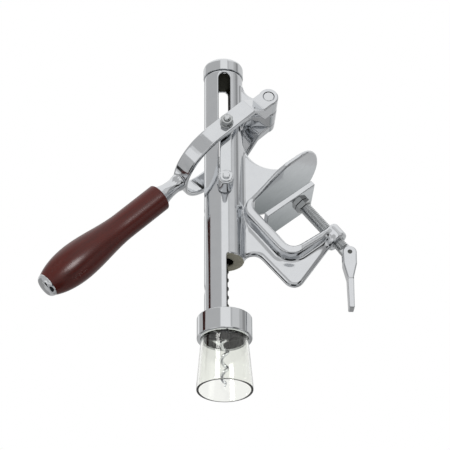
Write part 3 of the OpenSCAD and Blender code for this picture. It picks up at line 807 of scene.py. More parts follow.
@dataclass
class FrameCasting:
    """The casting: tube, half shell, pivot ear, rib, jaws and screw boss."""

    spigot_z: float = 60
    collar_top: float = 67.5
    end_z: float = 122
    bore_z: float = 134
    top_z: float = 313.5
    shell_lip: float = 1
    slot_half: float = 5.1
    slot_low: float = 188.5
    slot_high: float = 305.5
    ear_half: float = 9.5
    ear_r: float = 9
    ear_fillet_top: float = 14
    ear_fillet_low: float = 13
    rib_half: float = 4
    rib_rim: float = 3.4
    knee: Pair = (26, 120.3)
    knee_r: float = 9
    corner_r: float = 10
    hollow_r: float = 28.3
    hollow_z: float = 246
    throat: Pair = (43.2, 58)
    throat_r: float = 9
    jaw_t: float = 4
    jaw_half: float = 38
    jaw_flat: float = 14
    jaw_nose: float = 24
    spine_t: float = 8.7
    spine_half: float = 17
    shoulder_r: float = 13
    arm_t: float = 6.5
    boss_r: float = 10.5
    boss_low: float = -72
    screw_r: float = 5.5
    side_holes: tuple[Triple, ...] = ((4.5, 16.3, 94.75), (2.7, 12, 94.75), (2.7, 12, 171))
    grain: float = 0.8
    last_grain: float = 0.96

    def tube(self) -> Workpiece:
        """Turns the tube, still solid."""
        return Workpiece.rod("casting", TUBE_R, self.spigot_z, self.top_z, sides=128)

    def ear(self) -> list[Workpiece]:
        """Makes the ear that carries the lever pivot."""
        top = PIVOT[1] + self.ear_r + 1
        low = PIVOT[1] - self.ear_r
        upper = (TUBE_R + self.ear_fillet_top, top + self.ear_fillet_top)
        lower = (TUBE_R + self.ear_fillet_low, low - self.ear_fillet_low)
        outline = ([(0, upper[1])] + arc(upper, self.ear_fillet_top, 180, 270)
                   + [(PIVOT[0], PIVOT[1] + self.ear_r), (PIVOT[0], low)]
                   + arc(lower, self.ear_fillet_low, 90, 180) + [(0, lower[1])])
        plate = Workpiece.sawn("ear", outline, -self.ear_half, self.ear_half)
        boss = cross_rod("ear_boss", PIVOT, self.ear_r, -self.ear_half, self.ear_half, 0.5)
        return [plate.ease_edges(1.5), boss]

    def rib(self) -> Workpiece:
        """Makes the rounded rib between the tube, the jaws and the screw boss."""
        spine_x = -self.throat[0] - self.spine_t
        arm_z = -self.throat[1] - self.arm_t
        corner = JAWS.point(spine_x - 1.1, arm_z - 9.5)
        foot = JAWS.point(1 - self.boss_r, self.boss_low + 0.5)
        hollow = (TUBE_R + self.hollow_r, self.hollow_z)
        run_in = shared_tangent(self.knee, corner, self.knee_r + self.corner_r, 1)
        run_out = shared_tangent(corner, foot, self.corner_r, -1)
        middle = spine_x + self.spine_t / 2
        outline = ([(0, self.end_z + 0.6), (TUBE_R, self.end_z + 0.6)]
                   + arc(self.knee, self.knee_r, 150, run_in + 90)
                   + arc(corner, self.corner_r, run_in + 270, run_out + 270)
                   + [foot, JAWS.point(-5, self.boss_low + 2),
                      JAWS.point(-5, -self.throat[1] - self.arm_t / 2),
                      JAWS.point(middle, -self.throat[1] - self.arm_t / 2),
                      JAWS.point(middle, self.jaw_t / 2), JAWS.point(7, self.jaw_t / 2),
                      (hollow[0] + 12, hollow[1] - self.hollow_r + 1)]
                   + arc(hollow, self.hollow_r, 270, 180, 20) + [(0, hollow[1])])
        plate = Workpiece.sawn("rib", outline, -self.rib_half, self.rib_half)
        return plate.ease_edges(self.rib_rim, 5, clamp=False)

    def jaw_width(self, x: float) -> float:
        """Returns the half width of the jaw plate at a place x along it."""
        if x < self.jaw_flat:
            share = (x + self.throat[0] - 1) / (self.throat[0] - 1)
            return self.spine_half + (self.jaw_half - self.spine_half) * ease(share)
        reach = (x - self.jaw_flat) / self.jaw_nose
        return self.jaw_half * math.sqrt(max(0.0, 1 - reach * reach))

    def jaw(self) -> Workpiece:
        """Makes the wide oval upper jaw."""
        steps = 24
        root = self.shoulder_r - self.throat[0] - self.spine_t
        back = [root + (self.jaw_flat - root) * i / steps for i in range(steps + 1)]
        nose = [self.jaw_flat + self.jaw_nose * math.sin(math.pi / 2 * i / steps)
                for i in range(1, steps)]
        side = [(x, self.jaw_width(x)) for x in back + nose]
        tip = [(self.jaw_flat + self.jaw_nose, 0.0)]
        outline = side + tip + [(x, -y) for x, y in reversed(side)]
        plate = Workpiece.sawn("jaw", outline, 0, self.jaw_t, Plane.PLAN)
        return plate.ease_edges(1.1).place(JAWS.matrix)

    def spine(self) -> Workpiece:
        """Makes the spine with its rounded corners into the jaw and the lower arm."""
        spine_x = -self.throat[0] - self.spine_t
        arm_z = -self.throat[1] - self.arm_t
        outer = self.throat_r + self.arm_t
        top = self.shoulder_r
        end = -self.throat[0] + self.throat_r
        outline = ([(end, arm_z)] + arc((spine_x + outer, arm_z + outer), outer, 270, 180)
                   + arc((spine_x + top, self.jaw_t - top), top, 180, 90, 8)
                   + [(end, self.jaw_t)] + arc((end, -self.throat_r), self.throat_r, 90, 180)
                   + arc((end, -self.throat[1] + self.throat_r), self.throat_r, 180, 270))
        plate = Workpiece.sawn("spine", outline, -self.spine_half, self.spine_half)
        return plate.ease_edges(1.2, angle=60).place(JAWS.matrix)

    def lower_arm(self) -> list[Workpiece]:
        """Makes the lower arm and its screw boss."""
        root = -self.throat[0] + self.throat_r - 2
        outline = [(root, -self.spine_half), (0, -self.boss_r), (0, self.boss_r),
                   (root, self.spine_half)]
        arm = Workpiece.sawn("arm", outline, -self.throat[1] - self.arm_t, -self.throat[1],
                             Plane.PLAN)
        boss = Workpiece.rod("boss", self.boss_r, self.boss_low, 1 - self.throat[1], 1.0)
        return [arm.ease_edges(1.6).place(JAWS.matrix), boss.place(JAWS.matrix)]

    def cutters(self) -> list[Workpiece]:
        """Makes the tools for the bore, the window, the slots and the holes."""
        reach = 60
        slot = Workpiece.block("slot", (-self.slot_half, -reach, self.slot_low),
                               (self.slot_half, reach, self.slot_high))
        ends = [cross_rod("slot_end", (0, z), self.slot_half, -reach, reach)
                for z in (self.slot_low, self.slot_high)]
        screw = Workpiece.rod("screw_hole", self.screw_r + 0.2, self.boss_low - 2,
                              3 - self.throat[1])
        side = [Workpiece.rod("recess", r, depth, TUBE_R + 3).place(
                    Matrix.Translation((0, 0, z * MM)) @ Matrix.Rotation(-math.pi / 2, 4, "Y"))
                for r, depth, z in self.side_holes]
        return [Workpiece.rod("bore", BORE_R, self.bore_z, self.top_z + 5, sides=96),
                Workpiece.rod("hollow", BORE_R, self.spigot_z - 5, self.end_z, sides=96),
                Workpiece.rod("end_hole", 7.5, self.end_z - 2, self.bore_z + 2),
                Workpiece.block("window", (self.shell_lip, -20, self.collar_top),
                                (TUBE_R + 0.4, 20, self.end_z)),
                slot, *ends, screw.place(JAWS.matrix),
                cross_rod("pivot_hole", PIVOT, 5.1, -20, 20), *side]

    def build(self) -> None:
        """Casts, cuts and plates the frame."""
        solid = self.tube()
        solid.join([*self.ear(), self.rib(), self.jaw(), self.spine(), *self.lower_arm()])
        solid.cast(self.grain, 2).fill_corners(self.grain, 6, 60)
        solid.cut(self.cutters(), "MANIFOLD")
        solid.cast(self.last_grain, 4)
        solid.finish(CAST_CHROME, Body.FRAME, Slot.CHROME, ["frame_casting"], angle=60)
        # The bore's faces get painted shade: a dark colour for the shade inside the tube.
        solid.faces(lambda at, way: math.hypot(at.x, at.y) < BORE_R + 0.9 and at.z > 60.5)
        solid.paint(BORE_PAINTED_SHADE)
        solid.faces(lambda at, way: abs(at.z - self.end_z) < 0.9 and way.z < -0.6
                    and math.hypot(at.x, at.y) < TUBE_R)
        solid.paint(RAW_CASTING)


@dataclass
class TubeEnds:
    """The cap at the top, and the collar, the clear bell and its ring at the bottom."""

    cap_r: float = 18.1
    cap_low: float = 313.5
    cap_top: float = 327
    cap_edge: float = 4.5
    collar_low: float = 47
    collar_top: float = 67.5
    collar_r: float = 23.8
    collar_edge: float = 1.4
    neck_r: float = 20.4
    mouth_r: float = 22
    wall: float = 2
    land: float = 5
    neck_low: float = 46
    bell_top: float = 58
    ring_top: float = 60

    def cap(self) -> None:
        """Turns the top cap."""
        crown = arc((self.cap_r - self.cap_edge, self.cap_top - self.cap_edge), self.cap_edge,
                    0, 90, 12)
        profile = ([(0, self.cap_low - 3), (BORE_R - 0.1, self.cap_low - 3),
                    (BORE_R - 0.1, self.cap_low + 0.1), (self.cap_r - 0.5, self.cap_low + 0.1)]
                   + arc((self.cap_r - 0.5, self.cap_low + 0.6), 0.5, 300, 360, 4) + crown
                   + [(0, self.cap_top)])
        cap = Workpiece.turned("cap_turned", profile, 128)
        cap.finish(CHROME, Body.FRAME, Slot.CHROME, ["top_cap"])
        # The cap's face inside the bore gets the same painted shade.
        cap.faces(lambda at, way: math.hypot(at.x, at.y) < BORE_R + 0.2
                  and at.z < self.cap_low + 0.2)
        cap.paint(BORE_PAINTED_SHADE)

    def collar(self) -> None:
        """Turns the bell's collar."""
        mid = self.collar_r - self.collar_edge
        profile = ([(self.neck_r + 0.1, self.collar_low + 0.4),
                    (self.neck_r + 0.5, self.collar_low)]
                   + arc((mid, self.collar_low + self.collar_edge), self.collar_edge, 270, 360, 8)
                   + arc((mid, self.collar_top - self.collar_edge), self.collar_edge, 0, 90, 8)
                   + [(TUBE_R + 0.5, self.collar_top), (TUBE_R, self.collar_top - 0.5),
                      (TUBE_R, self.ring_top), (self.neck_r + 0.1, self.ring_top)])
        Workpiece.turned("collar_turned", profile, 128, closed=True).finish(
            CHROME, Body.FRAME, Slot.CHROME, ["bell_collar"])

    def bell(self) -> None:
        """Turns the clear bell."""
        out, lip = self.mouth_r + self.wall, 0.7
        profile = (arc((out - lip, lip), lip, 270, 360, 6)
                   + [(out, self.land), (self.neck_r, self.neck_low),
                      (self.neck_r, self.bell_top),
                      (self.neck_r - self.wall, self.bell_top),
                      (self.neck_r - self.wall, self.neck_low), (self.mouth_r, self.land)]
                   + arc((self.mouth_r + lip, lip), lip, 180, 270, 6))
        Workpiece.turned("bell_moulded", profile, 128, closed=True).finish(
            ACRYLIC, Body.FRAME, Slot.CLEAR, ["clear_bell"])

    def build(self) -> None:
        """Makes all four pieces."""
        self.cap()
        self.collar()
        self.bell()
        dress(["bottle_stop"], BLACK_RUBBER)


@dataclass
class Lever:
    """The lever: yoke, tang, wooden handle and end cap, along the seat LEVER."""

    boss_in: float = 9.8
    boss_out_near: float = 28
    boss_out_far: float = 20
    boss_r: float = 8.8
    arm_in: float = 34.8
    arm_out: float = 39.8
    loop_in: float = 35.5
    loop_out: float = 39.1
    loop_at: float = 70
    half_height: float = 8.4
    reach: float = 53.5
    tang: tuple[float, float, float] = (8.0, 6.7, 9.8)
    tang_at: float = 109.1
    wood_at: float = 132.3
    wood_len: float = 131
    slim_r: float = 12.5
    bulge_r: float = 17.5
    end_r: float = 11
    slim_len: float = 43
    bulge_at: float = 99
    cap_len: float = 5.5

    def loop(self, half: float, width: float, way: int) -> list[Pair]:
        """Lists one side of the yoke's round end."""
        angles = [way * math.pi / 2 * i / 18 for i in range(-18, 19)]
        return [(self.loop_at + half * math.cos(a), width * math.sin(a)) for a in angles]

    def yoke(self) -> None:
        """Forges the boss, the arms, the round end and the tang as one piece."""
        near, far = self.boss_out_near, -self.boss_out_far
        outline = ([(0, self.boss_in), (11, self.boss_in), (25, self.arm_in)]
                   + self.loop(self.loop_in, self.arm_in, -1)
                   + [(34, -self.arm_in), (16, -self.boss_in), (0, -self.boss_in), (0, far),
                      (16, far), (32, -self.arm_out)]
                   + self.loop(self.loop_out, self.arm_out, 1)
                   + [(26, self.arm_out), (13, near), (0, near)])
        band = Workpiece.sawn("yoke_forged", outline, -self.half_height, self.half_height,
                              Plane.PLAN)
        band.ease_edges(1.7, 4, 50)
        bosses = [cross_rod("boss", (0, 0), self.boss_r, low, high, 0.8)
                  for low, high in ((self.boss_in, near), (far, -self.boss_in))]
        root, waist, flare = self.tang
        length = self.wood_at - self.tang_at
        profile = ([(0, self.tang_at - 2), (root, self.tang_at - 2)]
                   + [(waist + (root - waist) * (1 - ease(i / 6)),
                       self.tang_at + length * 0.3 * i / 6) for i in range(7)]
                   + [(waist + (flare - waist) * (i / 10) ** 2.2,
                       self.tang_at + length * (0.3 + 0.07 * i)) for i in range(1, 11)]
                   + [(0, self.wood_at)])
        tang = Workpiece.turned("tang", profile, 64).lengthwise()
        band.join([*bosses, tang]).cast(0.5, 4).fill_corners(0.5, 3, 20)
        holes = [cross_rod("pivot_hole", (0, 0), 5.3, -60, 60),
                 cross_rod("bolt_hole", (self.reach, 0), 3.1, -60, 60)]
        band.cut(holes, "MANIFOLD").place(LEVER.matrix)
        band.finish(CAST_CHROME, Body.LEVER, Slot.CHROME, ["lever_yoke"], angle=60)

    def wood_r(self, along: float) -> float:
        """Returns the wood's radius at a distance from its start."""
        if along < self.bulge_at:
            share = (along - self.slim_len) / (self.bulge_at - self.slim_len)
            return self.slim_r + (self.bulge_r - self.slim_r) * ease(share)
        drop = (along - self.bulge_at) / (self.wood_len - self.bulge_at)
        return self.bulge_r * math.sqrt(1 - drop * drop * (1 - (self.end_r / self.bulge_r) ** 2))

    def grip(self) -> None:
        """Turns the wooden handle and its end cap."""
        edge, steps, bore = 1.4, 48, 4.0
        walls = [(self.wood_r(edge + (self.wood_len - edge) * i / steps),
                  self.wood_at + edge + (self.wood_len - edge) * i / steps)
                 for i in range(1, steps + 1)]
        profile = ([(bore, self.wood_at)]
                   + arc((self.slim_r - edge, self.wood_at + edge), edge, 270, 360, 6)
                   + walls + [(bore, self.wood_at + self.wood_len)])
        wood = Workpiece.turned("handle_turned", profile, 96, closed=True)
        wood.lengthwise().place(LEVER.matrix)
        wood.finish(STAINED_BEECH, Body.LEVER, Slot.WOOD, ["wooden_handle"], angle=50)
        foot = self.wood_at + self.wood_len
        dome = [(self.end_r - 3.2 * (1 - math.cos(a)) - 0.8 * i / 12,
                 foot + (self.cap_len - 0.8) * math.sin(a))
                for i, a in ((i, math.pi / 2 * i / 12) for i in range(1, 13))]
        profile = ([(0, foot + 2.2), (bore + 0.05, foot + 2.2), (bore + 0.05, foot + 0.05),
                    (self.end_r - 0.1, foot + 0.05)] + dome
                   + [(3.5, foot + self.cap_len - 0.3), (0, foot + self.cap_len)])
        cap = Workpiece.turned("handle_cap_turned", profile, 96)
        cap.lengthwise().place(LEVER.matrix)
        cap.finish(CHROME, Body.LEVER, Slot.CHROME, ["handle_end_cap"])

    def build(self) -> None:
        """Makes the lever's pieces."""
        self.yoke()
        self.grip()
        pin = cross_rod("pivot_pin_turned", PIVOT, 4.95, -self.boss_out_near, self.boss_out_far,
                        0.6)
        pin.finish(CHROME, Body.FRAME, Slot.CHROME, ["pivot_pin"])
        dress(["handle_rod"], ZINC_STEEL)


@dataclass
class Linkage:
    """The two links with their bolts, washers, nuts, spacers and studs."""

    inner: float = 27
    outer: float = 31
    half_width: float = 5.35
    eye_r: float = 7
    boss_r: float = 7.2
    boss_in: float = 17.9
    boss_out: float = 34.5
    arm_out: float = 39.8
    washer_t: float = 1.4
    nut_t: float = 5.4
    nut_flats: float = 10

    def link(self) -> None:
        """Makes the near and the far link."""
        eye = cross_rod("eye", BOLT, self.eye_r, -self.outer, -self.inner, 0.7)
        boss = cross_rod("link_boss", STUD, self.boss_r, -self.boss_out, -self.boss_in, 0.8)
        bar = Workpiece.block("near_link_forged",
                              (-self.half_width, -self.outer, STUD[1]),
                              (self.half_width, -self.inner, BOLT[1]))
        bar.ease_edges(0.8, 3)
        bar.join([eye, boss]).cast(0.35, 5)
        bar.cut([cross_rod("bolt_hole", BOLT, 3.1, -40, 0),
                 cross_rod("stud_hole", STUD, 3.2, -40, 0)], "MANIFOLD")
        twin = bar.mirrored("far_link_forged")
        bar.finish(CAST_CHROME, Body.LINKS, Slot.CHROME, ["near_link"], angle=50)
        twin.finish(CAST_CHROME, Body.LINKS, Slot.CHROME, ["far_link"], angle=50)

    def fasteners(self) -> None:
        """Makes the bolts, washers, nuts and studs on both sides."""
        head_low = -self.inner + 0.3
        face = -self.arm_out - self.washer_t
        bolt_end = face - self.nut_t - 2.4
        bolt = Workpiece.turned("near_bolt", [
            (0, bolt_end), (1.9, bolt_end), (2.9, bolt_end + 0.9), (2.9, face),
            (3.0, face + 0.4), (3.0, head_low), (5.0, head_low), (5.0, head_low + 3.2),
            (4.4, head_low + 3.7), (0, head_low + 3.7)], 48)
        washer = Workpiece.turned("near_washer", [
            (3.15, face), (5.6, face), (6.0, face + 0.4), (6.0, face + 1.1),
            (5.8, face + self.washer_t), (3.15, face + self.washer_t)], 64, closed=True)
        foot = -self.boss_out
        stud = Workpiece.turned("near_stud", [
            (0, foot - 3.5), (2.6, foot - 3.5), (3.2, foot - 2.9), (3.2, foot - 1.5),
            (5.2, foot - 1.5), (5.7, foot - 1.0), (5.7, foot), (3.2, foot),
            (3.2, -self.boss_in), (0, -self.boss_in)], 48)
        nut = Workpiece.nut("near_nut", self.nut_flats, face - self.nut_t, self.nut_t, 3.05,
                            (0.3, 0.4, 1.4), 0.2)
        for piece, place in ((nut, BOLT), (bolt, BOLT), (washer, BOLT), (stud, STUD)):
            piece.crosswise().shift(place[0], 0, place[1])
        rows = ((bolt, "lever_bolts", Body.LEVER, ZINC_STEEL, Slot.STEEL),
                (washer, "lever_washers", Body.LEVER, NUT_STEEL, Slot.CHROME),
                (nut, "lever_nuts", Body.LEVER, NUT_STEEL, Slot.CHROME),
                (stud, "link_studs", Body.LINKS, CHROME, Slot.CHROME))
        for piece, node, body, finish, slot in rows:
            twin = piece.mirrored(piece.obj.name.replace("near", "far"))
            piece.finish(finish, body, slot, [node], angle=25)
            twin.finish(finish, body, slot, [node], angle=25)

    def build(self) -> None:
        """Makes the linkage's pieces."""
        self.link()
        self.fasteners()
        dress(["link_spacers"], ZINC_STEEL)


@dataclass
class Drive:
    """The pieces in the tube: slider, spindle, drive nut and worm."""

    worm_skin: float = 0.4

    def build(self) -> None:
        """Smooths the spindle and the worm, and dresses the rest."""
        spindle = Workpiece.copied("spindle_milled", "spindle")
        spindle.finish(DARK_STEEL, Body.SPINDLE, Slot.STEEL, ["spindle"], angle=48)
        worm = Workpiece.copied("worm_wound", "worm")
        worm.modify("SUBSURF", levels=1, render_levels=1)
        worm.modify("DISPLACE", strength=self.worm_skin * MM, mid_level=0)
        worm.finish(CHROME, Body.SPINDLE, Slot.STEEL, ["worm"], angle=60)
        dress(["drive_nut", "slider", "thrust_washer"], BRONZE)
        dress(["slider_studs", "retaining_nut", "follower_pins", "nut_set_screw",
               "shell_screw"], ZINC_STEEL)


@dataclass
class CounterClamp:
    """The pad, the clamp screw with its nut, and the folding handle."""

    pad: tuple[float, float, float] = (-40.5, 13.3, 20.5)
    pad_low: float = -22
    pad_top: float = -17
    screw_r: float = 5.5
    root_r: float = 4.55
    pitch: float = 1.75
    screw_top: float = -22.3
    thread_end: float = -79
    eye_z: float = -86.7
    eye_half: float = 2.5
    nut_flats: float = 13.5
    nut_t: float = 4.8
    fold_pin: Pair = (109.66, 132.92)
    cheek_r: float = 6.2
    cheek_half: float = 5.8
    fork_half: float = 2.8

    def swivel_pad(self) -> None:
        """Makes the flat pad that the screw presses up."""
        left, right, half = self.pad
        plate = Workpiece.block("pad_stamped", (left, -half, self.pad_low),
                                (right, half, self.pad_top))
        plate.cut([Workpiece.rod("rivet_hole", 4.1, self.pad_low - 2, self.pad_top + 2)])
        plate.ease_edges(0.7, 3).place(JAWS.matrix)
        plate.finish(CAST_CHROME, Body.PAD, Slot.CHROME, ["swivel_pad"])

    def thread(self) -> Workpiece:
        """Winds the thread and trims both of its ends flat."""
        turns = math.ceil((self.screw_top - self.thread_end) / self.pitch) + 4
        start = self.thread_end - 2 * self.pitch
        step = self.pitch
        flank = [(self.root_r, 0), (self.root_r, 0.12 * step), (self.screw_r, 0.48 * step),
                 (self.screw_r, 0.62 * step), (self.root_r, step)]
        piece = Workpiece.wire("clamp_screw_rolled", [(r, 0, start + z) for r, z in flank],
                               closed=False)
        bpy.ops.object.mode_set(mode="OBJECT")
        piece.modify("SCREW", angle=math.tau, screw_offset=step * MM, iterations=turns,
                     steps=32, render_steps=32, use_merge_vertices=True,
                     merge_threshold=WELD * MM)
        for height, way in ((self.screw_top, 1), (self.thread_end, -1)):
            bpy.ops.object.mode_set(mode="EDIT")
            bpy.ops.mesh.select_all(action="SELECT")
            bpy.ops.mesh.bisect(plane_co=(0, 0, height * MM), plane_no=(0, 0, way),
                                use_fill=True, clear_outer=True)
            bpy.ops.object.mode_set(mode="OBJECT")
        bpy.ops.object.mode_set(mode="EDIT")
        return piece.close()

    def screw(self) -> None:
        """Makes the clamp screw with its rivet end and its flat eye."""
        screw = self.thread()
        rivet = Workpiece.rod("rivet", 4, self.screw_top - 2, -18.5, 0.4)
        outline = [(-self.screw_r + 0.4, self.thread_end + 1),
                   *arc((0, self.eye_z), self.screw_r, 180, 360, 24),
                   (self.screw_r - 0.4, self.thread_end + 1)]
        eye = Workpiece.sawn("eye", outline, -self.eye_half, self.eye_half)
        eye.cut([cross_rod("eye_hole", (0, self.eye_z), 2.05, -9, 9)]).ease_edges(0.4, 2)
        screw.join([rivet, eye]).place(JAWS.matrix)
        screw.finish(ZINC_STEEL, Body.SCREW, Slot.STEEL, ["clamp_screw"], angle=50)

    def nut(self) -> None:
        """Makes the hexagon nut under the pad."""
        nut = Workpiece.nut("pad_nut_forged", self.nut_flats, self.screw_top - self.nut_t,
                            self.nut_t, 5.6, (0.4, 0.5, 1.5), 0.25).place(JAWS.matrix)
        nut.finish(NUT_STEEL, Body.SCREW, Slot.STEEL, ["pad_nut"], angle=25)

    def folding_handle(self) -> None:
        """Makes the forked handle that hangs from the eye."""
        neck = (6.0, -11.0)
        cheeks = cross_rod("cheeks", (0, 0), self.cheek_r, -self.cheek_half, self.cheek_half, 0.7)
        collar = Workpiece.sawn("neck", [
            (-self.cheek_r, 0), (-neck[0], neck[1]), (-2.9, -24), (-2.9, -26), (2.9, -26),
            (2.9, -24), (neck[0], neck[1]), (self.cheek_r, 0)], -self.cheek_half, self.cheek_half)
        shank = Workpiece.sawn("folding_handle_forged", [
            (-2.4, -54), (-2.9, -22), (2.9, -22), (2.4, -54)],
            0.7 - self.cheek_half, self.cheek_half - 0.7)
        shank.ease_edges(0.6)
        shank.join([cheeks, collar.ease_edges(1.2)]).cast(0.3, 9)
        fork = Workpiece.block("fork", (-20, -self.fork_half, -7.5), (20, self.fork_half, 20))
        shank.cut([fork, cross_rod("pin_hole", (0, 0), 2.1, -12, 12)], "MANIFOLD")
        shank.shift(self.fold_pin[0], 0, self.fold_pin[1])
        shank.finish(CAST_CHROME, Body.HANDLE, Slot.CHROME, ["folding_handle"], angle=50)

    def build(self) -> None:
        """Makes the clamp's loose pieces."""
        self.swivel_pad()
        self.screw()
        self.nut()
        self.folding_handle()
        dress(["folding_pin"], DARK_STEEL)


# Studio -------------------------------------------------------------------------


class Tone(Enum):
    """The plain tones of the tent's cloth and of the cards that hang on it."""

    WHITE = "#FFFFFF"
    PALE = "#E0E0E0"
    CLOTH = "#C6C6C6"
    GREY = "#A0A0A0"
    BLACK = "#2D2D2D"


@dataclass(frozen=True)
class Ring:
    """One height of the tent: plain cloth with a few cards.

    low: Height of its lower edge in metres.
    cards: For each card the azimuths of its two sides in degrees, and its tone.
    seam: Half the width of a card's soft side in degrees.
    """

    low: float
    cards: tuple[tuple[int, int, Tone], ...]
    seam: float = 2

    def stops(self) -> list[tuple[float, str]]:
        """Lists the tones round the tent.

        Returns:
            Each place as a share of the full turn, with its colour.
        """
        stops = [(0.0, Tone.CLOTH.value)]
        for first, last, tone in self.cards:
            for azimuth, shade in ((first - self.seam, Tone.CLOTH), (first + self.seam, tone),
                                   (last - self.seam, tone), (last + self.seam, Tone.CLOTH)):
                stops.append(((azimuth + 180) / 360, shade.value))
        return stops + [(1.0, Tone.CLOTH.value)]


@dataclass
class Studio:
    """A photo tent round the part, a pale floor far below, soft lamps and the camera.

    Places and sizes are in millimetres, but ring_seam and floor_size are in metres.
    """

    tent_r: float = 2400
    tent_low: float = -2550
    tent_high: float = 3200
    floor_z: float = -2600
    board_r: float = 1500
    board_z: float = -1200
    board_dark: float = 700
    board_seam: float = 30
    board_tones: tuple[str, str] = ("#242628", "#B4B5B6")
    flag: tuple[Triple, Triple] = ((185, 300, 95), (272, 300, 262))
    flag_tones: tuple[str, str] = ("#6E7474", "#DADCDC")
    ring_seam: float = 0.04
    floor_size: float = 12
    floor_tone: str = "#E4E4E2"
    room: float = 0.55
    aim: Triple = (0, 0, 160)
    softboxes: tuple[tuple[str, Triple, float, float], ...] = (
        ("key_softbox", (-1100, -1500, 900), 700, 16),
        ("fill_softbox", (1500, -900, 300), 900, 3))
    lens: float = 151.2
    eye: Triple = (-87.188, -1439.965, -666.352)
    right: Triple = (0.99829, -0.05819, -0.00500)
    up: Triple = (-0.02459, -0.49639, 0.86775)
    rings: tuple[Ring, ...] = (
        Ring(-2.55, ((-120, -66, Tone.BLACK), (-60, 27, Tone.PALE), (31, 56, Tone.BLACK),
                     (60, 80, Tone.PALE), (85, 113, Tone.BLACK), (118, 176, Tone.GREY))),
        Ring(-0.85, ((-134, -121, Tone.WHITE), (-117, -107, Tone.BLACK),
                     (-66, -34, Tone.WHITE), (31, 57, Tone.BLACK), (61, 71, Tone.PALE),
                     (98, 111, Tone.BLACK), (130, 170, Tone.GREY))),
        Ring(-0.16, ((-160, -90, Tone.GREY), (-2, 26, Tone.WHITE), (30, 95, Tone.GREY))),
        Ring(0.98, ((-148, -132, Tone.WHITE), (-20, 22, Tone.WHITE), (28, 60, Tone.PALE),
                    (76, 91, Tone.GREY), (96, 170, Tone.PALE))))

    def unlit(self, name: str) -> tuple[bpy.types.Material, bpy.types.NodeTree, bpy.types.Node]:
        """Makes a material that only glows."""
        material = bpy.data.materials.new(name)
        material.use_nodes = True
        tree = material.node_tree
        tree.nodes.clear()
        glow = add_node(tree, "ShaderNodeEmission")
        add_node(tree, "ShaderNodeOutputMaterial", {"Surface": glow.outputs["Emission"]})
        return material, tree, glow

    def tent(self) -> None:
        """Hangs the tent, whose cloth and cards the chrome mirrors, out of the camera's sight."""
        clear_selection()
        bpy.ops.mesh.primitive_cylinder_add(
            vertices=128, radius=self.tent_r * MM, end_fill_type="NOTHING",
            depth=(self.tent_high - self.tent_low) * MM,
            location=(0, 0, (self.tent_high + self.tent_low) / 2 * MM))
        tent = Workpiece("tent")
        apply_place()
        material, tree, glow = self.unlit("tent_cloth")
        axes = add_node(tree, "ShaderNodeSeparateXYZ", {"Vector": own_place(tree)})
        back = add_node(tree, "ShaderNodeMath", {0: axes.outputs["Y"], 1: -1.0},
                        operation="MULTIPLY")
        angle = add_node(tree, "ShaderNodeMath", {0: axes.outputs["X"], 1: back.outputs[0]},
                         operation="ARCTAN2")
        share = add_node(tree, "ShaderNodeMapRange", {
            "Value": angle.outputs[0], "From Min": -math.pi, "From Max": math.pi})
        cloth = None
        for height in self.rings:
            ring = add_node(tree, "ShaderNodeValToRGB", {"Fac": share.outputs["Result"]},
                            height.stops())
            if cloth is None:
                cloth = ring.outputs["Color"]
                continue
            above = add_node(tree, "ShaderNodeMapRange", {
                "Value": axes.outputs["Z"], "From Min": height.low - self.ring_seam,
                "From Max": height.low + self.ring_seam})
            cloth = add_node(tree, "ShaderNodeMix", {
                "Factor": above.outputs["Result"], 6: cloth, 7: ring.outputs["Color"]},
                data_type="RGBA").outputs[2]
        plug(tree, glow, {"Color": cloth})
        self.hang(tent, material)

    def hang(self, piece: Workpiece, material: bpy.types.Material) -> None:
        """Gives a stage object its cloth and leaves it in the metal's reflections alone."""
        obj = piece.obj
        obj.data.materials.append(material)
        obj.visible_camera = False
        obj.visible_diffuse = False
        obj.visible_shadow = False
        obj.visible_transmission = False

    def under_board(self) -> None:
        """Lays a grey board whose dark middle draws the dark lines along the lower rims."""
        clear_selection()
        bpy.ops.mesh.primitive_circle_add(vertices=64, radius=self.board_r * MM,
                                          fill_type="NGON", location=(0, 0, self.board_z * MM))
        board = Workpiece("under_board")
        apply_place()
        material, tree, glow = self.unlit("grey_board")
        flat = add_node(tree, "ShaderNodeVectorMath", {0: own_place(tree), 1: (1, 1, 0)},
                        operation="MULTIPLY")
        out = add_node(tree, "ShaderNodeVectorMath", {0: flat.outputs[0]}, operation="LENGTH")
        share = add_node(tree, "ShaderNodeMapRange", {
            "Value": out.outputs["Value"],
            "From Min": (self.board_dark - self.board_seam) * MM,
            "From Max": (self.board_dark + self.board_seam) * MM})
        middle, rim = self.board_tones
        tone = add_node(tree, "ShaderNodeMix", {
            "Factor": share.outputs["Result"], 6: linear(middle), 7: linear(rim)},
            data_type="RGBA")
        plug(tree, glow, {"Color": tone.outputs[2]})
        self.hang(board, material)

    def grey_flag(self) -> None:
        """Stands a shaded flag behind the clamp, which darkens the jaws towards the spine."""
        low, high = self.flag
        clear_selection()
        bpy.ops.mesh.primitive_plane_add(size=1, rotation=(math.pi / 2, 0, 0))
        flag = Workpiece("grey_flag")
        span = (Vector(high) - Vector(low)) * MM
        flag.place(Matrix.Translation((Vector(high) + Vector(low)) / 2 * MM)
                   @ Matrix.Diagonal((span.x, 1, span.z, 1)))
        material, tree, glow = self.unlit("shaded_cloth")
        axes = add_node(tree, "ShaderNodeSeparateXYZ", {"Vector": own_place(tree)})
        share = add_node(tree, "ShaderNodeMapRange", {
            "Value": axes.outputs["X"], "From Min": low[0] * MM, "From Max": high[0] * MM})
        tone = add_node(tree, "ShaderNodeValToRGB", {"Fac": share.outputs["Result"]},
                        list(enumerate(self.flag_tones)))
        plug(tree, glow, {"Color": tone.outputs["Color"]})
        self.hang(flag, material)

